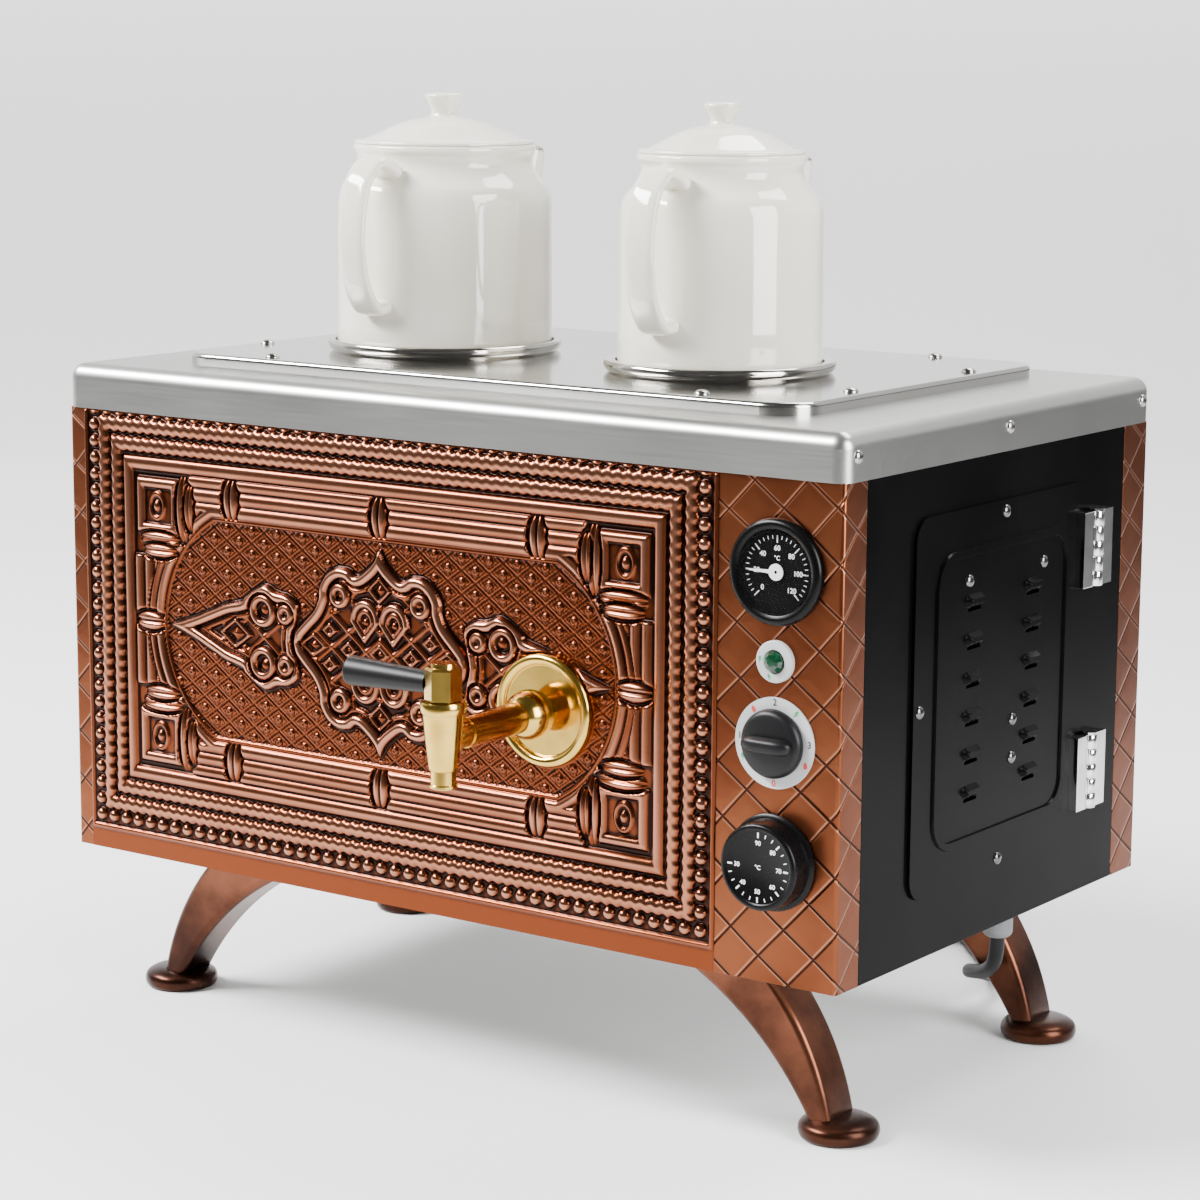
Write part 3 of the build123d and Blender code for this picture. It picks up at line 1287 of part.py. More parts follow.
# Cable gland under the pan
gland_tip = base_z - GLAND_NUT_T - GLAND_L
with BuildPart() as cable_gland:
    with BuildSketch(Plane.XY.offset(base_z)):
        with Locations((gland_x, GLAND_Y)):
            RegularPolygon(GLAND_NUT_R, 6)
    extrude(amount=-GLAND_NUT_T)
    with BuildSketch(Plane.XY.offset(base_z - GLAND_NUT_T)):
        with Locations((gland_x, GLAND_Y)):
            Circle(GLAND_R)
    extrude(amount=-GLAND_L)
    fillet(cable_gland.edges().group_by(Axis.Z)[0], GLAND_R - CORD_R - CLEAR)
    with BuildSketch(Plane.XY.offset(base_z)):
        with Locations((gland_x, GLAND_Y)):
            Circle(GLAND_R)
    extrude(amount=SHEET)
    with BuildSketch(Plane.XY.offset(floor_z)):
        with Locations((gland_x, GLAND_Y)):
            RegularPolygon(GLAND_NUT_R, 6)
    extrude(amount=GLAND_LOCK_T)
pieces["cable_gland"] = cable_gland

# Mains lead: from the gland round the rear leg to the coil behind the cabinet
coil_z = TIE_T + 0.2 + CORD_R
coil_entry = (COIL_X + COIL_R, COIL_Y, coil_z)
cord_route = [
    (gland_x, GLAND_Y, gland_tip),
    (gland_x, GLAND_Y, 57.0),
    (gland_x - 14.0, GLAND_Y + 13.5, 45.0),
    (188.0, 83.0, 36.0),
    (178.5, 109.0, 28.0),
    (174.0, 135.0, 19.0),
    (168.0, 160.0, 10.0),
    (151.0, 184.0, 4.3),
    (130.0, 209.0, 4.3),
    (COIL_X + COIL_R + 13.0, COIL_Y - 34.0, 4.4),
    (COIL_X + COIL_R + 4.5, COIL_Y - 24.0, 4.8),
    (COIL_X + COIL_R, COIL_Y - 4 * CORD_R, coil_z),
    (COIL_X + COIL_R, COIL_Y - 2 * CORD_R, coil_z),
]
route = [Vector(*point) for point in cord_route]
route_radii = []
for before, corner, after in zip(route, route[1:], route[2:]):
    turn = (corner - before).get_angle(after - corner)
    shorter = min((corner - before).length, (after - corner).length)
    route_radii.append(0.45 * shorter / tan(radians(turn) / 2))
print("cord radii", [round(radius, 1) for radius in route_radii])

with BuildPart() as cord_run:
    with BuildLine() as run_line:
        FilletPolyline(*cord_route, radius=route_radii)
    with BuildSketch(Plane(origin=run_line.line @ 0, z_dir=run_line.line % 0)):
        Circle(CORD_R)
    sweep()
run_length = run_line.wire().length
pieces["cord_run"] = cord_run

# Coil: half turns that spiral in on the floor, climb a layer and spiral out again
half_step = COIL_STEP / 2
half_turns = []
x_now, z_now, radius, heading = COIL_X + COIL_R, coil_z, COIL_R, -1
for number in range(2 * COIL_TURNS):
    half_turns.append((x_now, z_now, x_now + heading * 2 * radius, z_now, -heading))
    x_now += heading * 2 * radius
    radius -= half_step
    heading = -heading
half_turns.append((x_now, z_now, x_now + heading * 2 * radius, z_now + COIL_CLIMB, -heading))
x_now += heading * 2 * radius
z_now += COIL_CLIMB
heading = -heading
for number in range(2 * COIL_TURNS - 1):
    radius += half_step
    half_turns.append((x_now, z_now, x_now + heading * 2 * radius, z_now, -heading))
    x_now += heading * 2 * radius
    heading = -heading
tail_x = x_now + heading * 2 * COIL_TAIL_R
half_turns.append((x_now, z_now, tail_x, MAINS_ENTRY_UP, -heading))
straight = 2 * CORD_R
tail_y = COIL_Y - straight
with BuildPart() as cord_coil:
    with BuildLine() as coil_line:
        Line((coil_entry[0], COIL_Y - straight, coil_z), coil_entry)
        for x0, z0, x1, z1, bulge in half_turns:
            reach = ((x1 - x0) ** 2 + (z1 - z0) ** 2) ** 0.5 / 2
            ThreePointArc(
                (x0, COIL_Y, z0), ((x0 + x1) / 2, COIL_Y + bulge * reach, (z0 + z1) / 2), (x1, COIL_Y, z1)
            )
        Line((tail_x, COIL_Y, MAINS_ENTRY_UP), (tail_x, tail_y, MAINS_ENTRY_UP))
    with BuildSketch(Plane(origin=coil_line.line @ 0, z_dir=coil_line.line % 0)):
        Circle(CORD_R)
    sweep()
pieces["cord_coil"] = cord_coil

# Least gap of the coil to itself, on points along its middle
coil_length = coil_line.wire().length
steps = 400
spots = [coil_line.wire() @ (number / steps) for number in range(steps + 1)]
apart = int(steps * 6 * CORD_R / coil_length)
least = min(
    (spots[i] - spots[j]).length for i in range(steps + 1) for j in range(i + apart, steps + 1)
)
print("coil gap", round(least - 2 * CORD_R, 2), "lead length", round(run_length + coil_length, 1))

tie_half_d = COIL_STEP / 2 + CORD_R + TIE_SIDE
tie_mid = COIL_Y - (COIL_R - half_step) + COIL_STEP / 2
tie_top = coil_z + COIL_CLIMB + CORD_R + TIE_GAP
with BuildPart() as cord_tie:
    with BuildSketch(facing_right(tie_mid, 0, x=COIL_X)):
        Rectangle(2 * (tie_half_d + TIE_T), tie_top + TIE_T, align=(Align.CENTER, Align.MIN))
        with Locations((0, TIE_T)):
            Rectangle(2 * tie_half_d, tie_top - TIE_T, align=(Align.CENTER, Align.MIN), mode=Mode.SUBTRACT)
    extrude(amount=TIE_W / 2, both=True)
pieces["cord_tie"] = cord_tie

# Plug, lying on its back with its contacts up
plug_y = tail_y - RELIEF_L - MAINS_PLUG_R + RELIEF_R / 2
with BuildPart() as mains_plug:
    with BuildSketch(Plane.XY):
        with Locations((tail_x, plug_y)):
            Circle(MAINS_PLUG_R)
    extrude(amount=MAINS_PLUG_H)
    fillet(mains_plug.edges().group_by(Axis.Z)[-1], MAINS_PLUG_R / 10)
    with BuildSketch(facing_front(tail_x, MAINS_ENTRY_UP, y=tail_y)):
        Circle(RELIEF_END_R)
    with BuildSketch(facing_front(tail_x, MAINS_ENTRY_UP, y=tail_y - RELIEF_L)):
        Circle(RELIEF_R)
    loft()
    with BuildSketch(facing_front(tail_x, MAINS_ENTRY_UP, y=tail_y - RELIEF_L)):
        Circle(RELIEF_R)
    extrude(amount=MAINS_PLUG_R / 2)
    with BuildSketch(Plane.XY.offset(MAINS_PLUG_H)):
        with Locations((tail_x - CONTACT_SPACING / 2, plug_y), (tail_x + CONTACT_SPACING / 2, plug_y)):
            Circle(CONTACT_R)
    extrude(amount=CONTACT_L)
pieces["mains_plug"] = mains_plug

os.makedirs("parts", exist_ok=True)
for name, piece in pieces.items():
    piece.part.label = name
    export_step(piece.part, f"parts/{name}.step")
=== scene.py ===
"""Looks of a two-pot tea boiler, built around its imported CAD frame."""
from __future__ import annotations

import json
import logging
import math
from dataclasses import dataclass, field
from enum import Enum
from typing import Iterable, Sequence, Union

import bmesh
import bpy
import numpy as np
from mathutils import Matrix, Vector

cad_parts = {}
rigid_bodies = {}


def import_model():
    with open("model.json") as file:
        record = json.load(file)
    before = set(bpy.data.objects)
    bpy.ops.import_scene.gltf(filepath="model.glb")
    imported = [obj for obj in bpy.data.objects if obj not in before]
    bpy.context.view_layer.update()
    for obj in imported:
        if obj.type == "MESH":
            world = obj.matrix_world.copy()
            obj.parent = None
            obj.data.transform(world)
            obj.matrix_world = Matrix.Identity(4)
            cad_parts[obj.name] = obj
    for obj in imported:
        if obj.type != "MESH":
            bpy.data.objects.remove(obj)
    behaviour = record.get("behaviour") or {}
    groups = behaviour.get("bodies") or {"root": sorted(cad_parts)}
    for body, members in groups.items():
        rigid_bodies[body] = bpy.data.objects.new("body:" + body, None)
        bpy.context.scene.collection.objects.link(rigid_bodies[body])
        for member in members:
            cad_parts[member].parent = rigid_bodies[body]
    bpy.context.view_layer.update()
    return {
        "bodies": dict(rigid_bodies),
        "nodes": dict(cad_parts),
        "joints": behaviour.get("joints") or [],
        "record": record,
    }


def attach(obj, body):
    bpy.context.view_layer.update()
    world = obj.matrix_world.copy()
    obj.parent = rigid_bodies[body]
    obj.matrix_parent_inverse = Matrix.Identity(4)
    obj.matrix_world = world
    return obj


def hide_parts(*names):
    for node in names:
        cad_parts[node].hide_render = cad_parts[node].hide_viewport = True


LOG = logging.getLogger("tea_boiler")
Point = Sequence[float]
Pair = tuple[float, float]
Colour = tuple[float, float, float]
Inputs = dict[Union[str, int], object]

# Lengths are in millimetres until a mesh is made
MM = 0.001
PER_METRE = 1000.0
WELD = 0.002
FULL_TURN = 2 * math.pi
RIGHT, FRONT, BACK, UP = (Vector(way) for way in ((1, 0, 0), (0, -1, 0), (0, 1, 0), (0, 0, 1)))

# Places in the part's frame that several pieces share
FRONT_Y = -155.5
BASE_Z = 90.0
SKIRT_Z = 337.0
PANEL_TOP = 352.5
SHEET = 1.2
CONTROL_X = 213.8
TAP_X = 77.5
TAP_Z = 208.0
POT_Y = -20.0


class Wire:
    """A shader socket that takes part in arithmetic."""

    def __init__(self, graph: Nodes, socket: bpy.types.NodeSocket) -> None:
        """Keep the socket and the tree that it belongs to."""
        self.graph = graph
        self.socket = socket

    def __add__(self, other: Term) -> Wire:
        """Return the sum."""
        return self.graph.math("ADD", self, other)

    def __radd__(self, other: Term) -> Wire:
        """Return the sum, with the number first."""
        return self.graph.math("ADD", other, self)

    def __sub__(self, other: Term) -> Wire:
        """Return the difference."""
        return self.graph.math("SUBTRACT", self, other)

    def __rsub__(self, other: Term) -> Wire:
        """Return the difference, with the number first."""
        return self.graph.math("SUBTRACT", other, self)

    def __mul__(self, other: Term) -> Wire:
        """Return the product."""
        return self.graph.math("MULTIPLY", self, other)

    def __rmul__(self, other: Term) -> Wire:
        """Return the product, with the number first."""
        return self.graph.math("MULTIPLY", other, self)

    def __truediv__(self, other: Term) -> Wire:
        """Return the quotient."""
        return self.graph.math("DIVIDE", self, other)

    def at_most(self, other: Term) -> Wire:
        """Return the lesser of the two."""
        return self.graph.math("MINIMUM", self, other)

    def at_least(self, other: Term) -> Wire:
        """Return the greater of the two."""
        return self.graph.math("MAXIMUM", self, other)

    def wave_gap(self, pitch: float) -> Wire:
        """Return the distance to the nearest multiple of the pitch."""
        return self.graph.math("PINGPONG", self, pitch / 2)

    def ramp(self, low: float, high: float) -> Wire:
        """Return a smooth step between two values.

        Args:
            low: value that gives 0.
            high: value that gives 1; it may be under the low one.

        Returns:
            The step, between 0 and 1.
        """
        node = self.graph.node("ShaderNodeMapRange", {"Value": self, "From Min": low, "From Max": high},
                               interpolation_type="SMOOTHSTEP")
        return Wire(self.graph, node.outputs["Result"])


Term = Union[Wire, float, int]


class Nodes:
    """A node tree in the making."""

    def __init__(self, tree: bpy.types.NodeTree) -> None:
        """Keep the tree."""
        self.tree = tree

    def node(self, kind: str, inputs: Inputs | None = None, **settings: object) -> bpy.types.Node:
        """Make a node, set its options and feed its inputs.

        Args:
            kind: Blender's name of the node type.
            inputs: values or wires by socket name or number.
            settings: options of the node.

        Returns:
            The node.
        """
        node = self.tree.nodes.new(kind)
        for option, value in settings.items():
            setattr(node, option, value)
        for key, value in (inputs or {}).items():
            if isinstance(value, Wire):
                self.tree.links.new(value.socket, node.inputs[key])
            else:
                node.inputs[key].default_value = value
        return node

    def part(self, kind: str, inputs: Inputs | None = None, **settings: object) -> Wire:
        """Return the first output of a new node."""
        return Wire(self, self.node(kind, inputs, **settings).outputs[0])

    def math(self, operation: str, *terms: Term) -> Wire:
        """Return one arithmetic step."""
        return self.part("ShaderNodeMath", dict(enumerate(terms)), operation=operation)


class Growth(Nodes):
    """A Geometry Nodes tree that makes repeated shapes, with named inputs for its sizes."""

    def __init__(self, name: str, sizes: Sequence[str]) -> None:
        """Make the tree with its inputs: the seed, the named sizes and the finish.

        Args:
            name: the tree's name.
            sizes: names of the sizes.
        """
        super().__init__(bpy.data.node_groups.new(name, "GeometryNodeTree"))
        face = self.tree.interface
        face.new_socket("Geometry", in_out="OUTPUT", socket_type="NodeSocketGeometry")
        face.new_socket("Geometry", in_out="INPUT", socket_type="NodeSocketGeometry")
        kinds = {**dict.fromkeys(sizes, "NodeSocketFloat"), "Finish": "NodeSocketMaterial"}
        self.keys: dict[str, str] = {}
        for key, kind in kinds.items():
            self.keys[key] = face.new_socket(key, in_out="INPUT", socket_type=kind).identifier
        self.entry = self.node("NodeGroupInput")

    def given(self, name: str) -> Wire:
        """Return one of the tree's inputs."""
        return Wire(self, self.entry.outputs[name])

    def vector(self, x: Term, y: Term, z: Term) -> Wire:
        """Return a vector of three values."""
        return self.part("ShaderNodeCombineXYZ", {0: x, 1: y, 2: z})

    def stored(self, name: str) -> Wire:
        """Return a vector stored on the points."""
        return self.part("GeometryNodeInputNamedAttribute", {"Name": name}, data_type="FLOAT_VECTOR")

    def joined(self, *shapes: Wire) -> Wire:
        """Return several shapes as one.

        Args:
            shapes: what to join.

        Returns:
            The whole.
        """
        join = self.node("GeometryNodeJoinGeometry")
        for shape in shapes:
            self.tree.links.new(shape.socket, join.inputs[0])
        return Wire(self, join.outputs[0])

    def end(self, shapes: Wire) -> None:
        """Finish the tree with real meshes in their finish.

        Args:
            shapes: what the tree has made.
        """
        whole = self.part("GeometryNodeRealizeInstances", {0: shapes})
        dressed = self.part("GeometryNodeSetMaterial", {"Geometry": whole, "Material": self.given("Finish")})
        self.node("NodeGroupOutput", {0: dressed})

    def grow(self, seed: bpy.types.Mesh, sizes: dict[str, float], finish: Finishes) -> bpy.types.Mesh:
        """Return the plain mesh that the tree makes.

        Args:
            seed: mesh that goes into the tree.
            sizes: values of the named inputs.
            finish: finish of the shapes.

        Returns:
            The mesh.
        """
        holder = linked("growth", seed)
        step = holder.modifiers.new("growth", "NODES")
        step.node_group = self.tree
        for name, value in sizes.items():
            step[self.keys[name]] = float(value)
        step[self.keys["Finish"]] = finish.material
        mesh = bpy.data.meshes.new_from_object(holder.evaluated_get(bpy.context.evaluated_depsgraph_get()))
        holder.modifiers.remove(step)
        bpy.data.objects.remove(holder)
        return mesh


class Graph(Nodes):
    """One material's node tree."""

    def __init__(self, name: str) -> None:
        """Make the material with an empty tree.

        Args:
            name: the material's name.
        """
        self.material = bpy.data.materials.new(name)
        self.material.use_nodes = True
        super().__init__(self.material.node_tree)
        self.tree.nodes.clear()

    def where(self) -> Wire:
        """Return the surface point in the part's frame, in metres."""
        return Wire(self, self.node("ShaderNodeTexCoord").outputs["Object"])

    def place(self) -> tuple[Wire, Wire, Wire]:
        """Return the surface point's coordinates in the part's frame, in millimetres.

        Returns:
            The three coordinates.
        """
        split = self.node("ShaderNodeSeparateXYZ", {0: self.where()})
        x, y, z = (Wire(self, split.outputs[axis]) * PER_METRE for axis in "XYZ")
        return x, y, z

    def noise(self, scale: float, detail: float = 2.0, stretch: Point = (1.0, 1.0, 1.0)) -> Wire:
        """Return a cloud pattern.

        Args:
            scale: clouds per metre.
            detail: octaves.
            stretch: factors on the three axes.

        Returns:
            The pattern, about 0 to 1.
        """
        mapped = self.part("ShaderNodeMapping", {"Vector": self.where(), "Scale": tuple(stretch)})
        return self.part("ShaderNodeTexNoise", {"Vector": mapped, "Scale": scale, "Detail": detail})

    def attribute(self, name: str) -> Wire:
        """Return a number stored on the mesh."""
        return Wire(self, self.node("ShaderNodeAttribute", attribute_name=name).outputs["Fac"])

    def mix(self, factor: Term, low: Colour | Wire, high: Colour | Wire) -> Wire:
        """Return a blend of two colours.

        Args:
            factor: 0 for the low colour, 1 for the high one.
            low: one colour.
            high: the other colour.

        Returns:
            The blend.
        """
        node = self.node("ShaderNodeMix", {0: factor}, data_type="RGBA")
        for socket, colour in zip((node.inputs[6], node.inputs[7]), (low, high)):
            if isinstance(colour, Wire):
                self.tree.links.new(colour.socket, socket)
            else:
                socket.default_value = (*colour, 1.0)
        return Wire(self, node.outputs[2])

    def bump(self, height: Wire, distance: float, strength: float = 1.0) -> Wire:
        """Return a normal from a height in millimetres."""
        inputs = {"Height": height, "Distance": distance * MM, "Strength": strength}
        return self.part("ShaderNodeBump", inputs)

    def surface(self, **values: object) -> bpy.types.Material:
        """Finish the material with a principled surface.

        Args:
            values: socket values by name, with _ for a space.

        Returns:
            The material.
        """
        inputs: Inputs = {}
        for key, value in values.items():
            is_colour = isinstance(value, tuple) and len(value) == 3
            inputs[key.replace("_", " ")] = (*value, 1.0) if is_colour else value
        self.node("ShaderNodeOutputMaterial", {"Surface": self.part("ShaderNodeBsdfPrincipled", inputs)})
        return self.material


@dataclass(frozen=True)
class Finish:
    """A finish: a name and a way to build its material."""

    name: str

    def build(self) -> bpy.types.Material:
        """Return the finish's material, made once.

        Returns:
            The material.
        """
        label = f"{self.name}_finish"
        known = bpy.data.materials.get(label)
        return known if known is not None else self.paint(Graph(label))

    def paint(self, graph: Graph) -> bpy.types.Material:
        """Fill the material's node tree.

        Args:
            graph: the empty tree.

        Returns:
            The material.
        """
        raise NotImplementedError


@dataclass(frozen=True)
class ReliefCopper(Finish):
    """Antique copper sheet with patina in the hollows, rubbed bright on the ridges, and painted shade on the
    ridges' lower and right-hand flanks.
    """

    ground: Colour = (0.150, 0.035, 0.0110)
    ridge: Colour = (0.40, 0.168, 0.098)
    # Colour of the patina in the hollows, also laid on as painted shade on the lower and right-hand flanks
    stain: Colour = (0.016, 0.006, 0.004)

    def paint(self, graph: Graph) -> bpy.types.Material:
        """Fill the material's node tree.

        Args:
            graph: the empty tree.

        Returns:
            The material.
        """
        cloud = graph.noise(26.0, 4.0)
        fine = graph.noise(420.0, 2.0)
        rubbed = (graph.attribute("tone") + (cloud - 0.5) * 0.25).ramp(0.24, 0.95)
        # Patina in the hollows plus painted shade on the lower and right-hand flanks
        stain_and_shade = (graph.attribute("patina_and_shade") + (fine - 0.5) * 0.2).ramp(0.15, 0.80)
        colour = graph.mix(stain_and_shade, graph.mix(rubbed, self.ground, self.ridge), self.stain)
        rough = 0.23 - rubbed * 0.07 + (fine - 0.5) * 0.08
        return graph.surface(Base_Color=colour, Metallic=0.94, Roughness=rough,
                             Normal=graph.bump(cloud + fine * 0.2, 0.08))


@dataclass(frozen=True)
class QuiltedCopper(Finish):
    """Copper sheet pressed with a slightly turned diamond quilt, with a painted highlight along one edge of
    each seam.
    """

    pitch: float = 20.4
    rise: float = math.radians(47.0)
    fall: float = math.radians(36.0)
    rise_through: Pair = (248.8, 268.3)
    fall_through: Pair = (248.8, 324.2)
    # Offset of the painted highlight line from each seam
    lit_shift: float = 1.0
    dark: Colour = (0.115, 0.0290, 0.0095)
    light: Colour = (0.200, 0.060, 0.024)
    # Colour of the painted highlight beside each seam
    glint: Colour = (0.50, 0.22, 0.125)
    stain: Colour = (0.018, 0.006, 0.004)

    def paint(self, graph: Graph) -> bpy.types.Material:
        """Fill the material's node tree.

        Args:
            graph: the empty tree.

        Returns:
            The material.
        """
        x, y, z = graph.place()
        across = x + y - FRONT_Y
        wobble = (graph.noise(14.0, 1.0) - 0.5) * 3.0
        up = ((across - self.rise_through[0]) * math.sin(self.rise)
              - (z - self.rise_through[1]) * math.cos(self.rise)) + wobble
        down = ((across - self.fall_through[0]) * math.sin(self.fall)
                + (z - self.fall_through[1]) * math.cos(self.fall)) + wobble
        seam = up.wave_gap(self.pitch).at_most(down.wave_gap(self.pitch))
        # Painted highlight: a thin bright line along one side of each seam, as if lit from one side
        lit_up, lit_down = up + self.lit_shift, down + self.lit_shift
        lower = lit_up.wave_gap(self.pitch).at_most(lit_down.wave_gap(self.pitch))
        cloud = graph.noise(18.0, 4.0)
        broad = graph.noise(7.0, 2.0)
        streak = graph.noise(60.0, 3.0, (1.0, 1.0, 0.12))
        painted_glint_mask = lower.ramp(0.9, 0.1) * seam.ramp(0.4, 0.9)
        base = graph.mix((cloud * 0.6 + broad * 0.4).ramp(0.34, 0.68), self.dark, self.light)
        lit = graph.mix(painted_glint_mask * 0.5, base, self.glint)
        colour = graph.mix(seam.ramp(0.75, 0.15) * 0.92, lit, self.stain)
        height = seam.ramp(0.0, 1.0) * 0.5 + seam.ramp(0.5, 6.0) * 0.10 + cloud * 0.35
        return graph.surface(Base_Color=colour, Metallic=0.92, Roughness=0.32 + (streak - 0.5) * 0.14,
                             Normal=graph.bump(height, 1.0, 0.8))


@dataclass(frozen=True)
class CastCopper(Finish):
    """Antique copper plate on a casting, browned in smudges and darker low down."""

    brown: Colour = (0.026, 0.0090, 0.0052)
    bare: Colour = (0.165, 0.057, 0.029)

    def paint(self, graph: Graph) -> bpy.types.Material:
        """Fill the material's node tree.

        Args:
            graph: the empty tree.

        Returns:
            The material.
        """
        _, _, z = graph.place()
        cloud = graph.noise(12.0, 3.0)
        fine = graph.noise(300.0, 3.0)
        smudge = graph.noise(38.0, 4.0)
        # Brighter higher up and darker towards the bottom, mixed with random smudges
        height = z.ramp(-10.0, 95.0)
        bare_share = (cloud * 0.40 + smudge * 0.40 + height * 0.20 + (fine - 0.5) * 0.06).ramp(0.34, 0.74)
        return graph.surface(Base_Color=graph.mix(bare_share, self.brown, self.bare), Metallic=0.92,
                             Roughness=0.29 + (cloud - 0.5) * 0.10, Normal=graph.bump(fine, 0.05))


@dataclass(frozen=True)
class Steel(Finish):
    """Stainless steel with a brushed grain along X."""

    tint: Colour = (0.50, 0.50, 0.485)
    rough: float = 0.33
    grain: float = 0.12

    def paint(self, graph: Graph) -> bpy.types.Material:
        """Fill the material's node tree.

        Args:
            graph: the empty tree.

        Returns:
            The material.
        """
        grain = graph.noise(900.0, 3.0, (0.02, 1.0, 1.0))
        cloud = graph.noise(9.0, 2.0)
        dark = tuple(0.9 * part for part in self.tint)
        rough = self.rough + (grain - 0.5) * self.grain + (cloud - 0.5) * 0.05
        return graph.surface(Base_Color=graph.mix(cloud.ramp(0.3, 0.7), dark, self.tint), Metallic=1.0,
                             Roughness=rough, Normal=graph.bump(grain, 0.02 + 0.1 * self.grain, 0.5))


@dataclass(frozen=True)
class Plate(Finish):
    """Polished plated or solid metal with faint handling marks."""

    tint: Colour = (0.80, 0.80, 0.81)
    rough: float = 0.10

    def paint(self, graph: Graph) -> bpy.types.Material:
        """Fill the material's node tree.

        Args:
            graph: the empty tree.

        Returns:
            The material.
        """
        marks = graph.noise(70.0, 4.0)
        dark = tuple(0.82 * part for part in self.tint)
        return graph.surface(Base_Color=graph.mix(marks.ramp(0.35, 0.65), dark, self.tint), Metallic=1.0,
                             Roughness=self.rough + (marks - 0.5) * 0.06, Normal=graph.bump(marks, 0.03))


@dataclass(frozen=True)
class Glaze(Finish):
    """Glossy ivory glaze with slight unevenness."""

    shade: Colour = (0.80, 0.767, 0.66)
    tint: Colour = (0.86, 0.832, 0.74)

    def paint(self, graph: Graph) -> bpy.types.Material:
        """Fill the material's node tree.

        Args:
            graph: the empty tree.

        Returns:
            The material.
        """
        cloud = graph.noise(14.0, 2.0)
        fine = graph.noise(320.0, 2.0)
        return graph.surface(Base_Color=graph.mix(cloud.ramp(0.3, 0.7), self.shade, self.tint),
                             Roughness=0.10 + (fine - 0.5) * 0.03, Coat_Weight=0.6, Coat_Roughness=0.03,
                             Specular_IOR_Level=0.5, Normal=graph.bump(cloud, 0.20))


@dataclass(frozen=True)
class Coat(Finish):
    """Painted, moulded or rubber surface with a fine texture."""

    tint: Colour = (0.012, 0.012, 0.013)
    rough: float = 0.42
    texture: float = 700.0
    depth: float = 0.03
    gloss: float = 0.5

    def paint(self, graph: Graph) -> bpy.types.Material:
        """Fill the material's node tree.

        Args:
            graph: the empty tree.

        Returns:
            The material.
        """
        fine = graph.noise(self.texture, 3.0)
        cloud = graph.noise(16.0, 2.0)
        light = tuple(min(1.0, 1.25 * part + 0.001) for part in self.tint)
        return graph.surface(Base_Color=graph.mix(cloud.ramp(0.3, 0.7), self.tint, light),
                             Roughness=self.rough + (fine - 0.5) * 0.06, Specular_IOR_Level=self.gloss,
                             Normal=graph.bump(fine, self.depth))


@dataclass(frozen=True)
class PlugMoulding(Finish):
    """Black moulding with plated contacts above its face."""

    face_z: float = 27.0
    moulding: Colour = (0.006, 0.006, 0.006)
    contact: Colour = (0.62, 0.60, 0.55)

    def paint(self, graph: Graph) -> bpy.types.Material:
        """Fill the material's node tree.

        Args:
            graph: the empty tree.

        Returns:
            The material.
        """
        _, _, z = graph.place()
        fine = graph.noise(500.0, 3.0)
        bare = z.ramp(self.face_z + 0.02, self.face_z + 0.12)
        rough = 0.46 - bare * 0.28 + (fine - 0.5) * 0.05
        return graph.surface(Base_Color=graph.mix(bare, self.moulding, self.contact), Metallic=bare,
                             Roughness=rough, Specular_IOR_Level=0.18, Normal=graph.bump(fine, 0.02))


@dataclass(frozen=True)
class Lens(Finish):
    """Clear coloured lamp lens."""

    tint: Colour = (0.0014, 0.024, 0.0095)

    def paint(self, graph: Graph) -> bpy.types.Material:
        """Fill the material's node tree.

        Args:
            graph: the empty tree.

        Returns:
            The material.
        """
        fine = graph.noise(500.0, 2.0)
        light = tuple(2.0 * part for part in self.tint)
        return graph.surface(Base_Color=graph.mix(fine.ramp(0.35, 0.65), self.tint, light),
                             Roughness=0.07 + (fine - 0.5) * 0.04, Coat_Weight=0.4)


@dataclass(frozen=True)
class ClearGlass(Finish):
    """Thin clear glass, seen by its faint smears and reflections."""

    tint: Colour = (0.03, 0.03, 0.03)

    def paint(self, graph: Graph) -> bpy.types.Material:
        """Fill the material's node tree.

        Args:
            graph: the empty tree.

        Returns:
            The material.
        """
        smear = graph.noise(60.0, 3.0)
        return graph.surface(Base_Color=self.tint, Roughness=(smear - 0.5) * 0.03 + 0.03,
                             Alpha=0.04 + smear * 0.03)


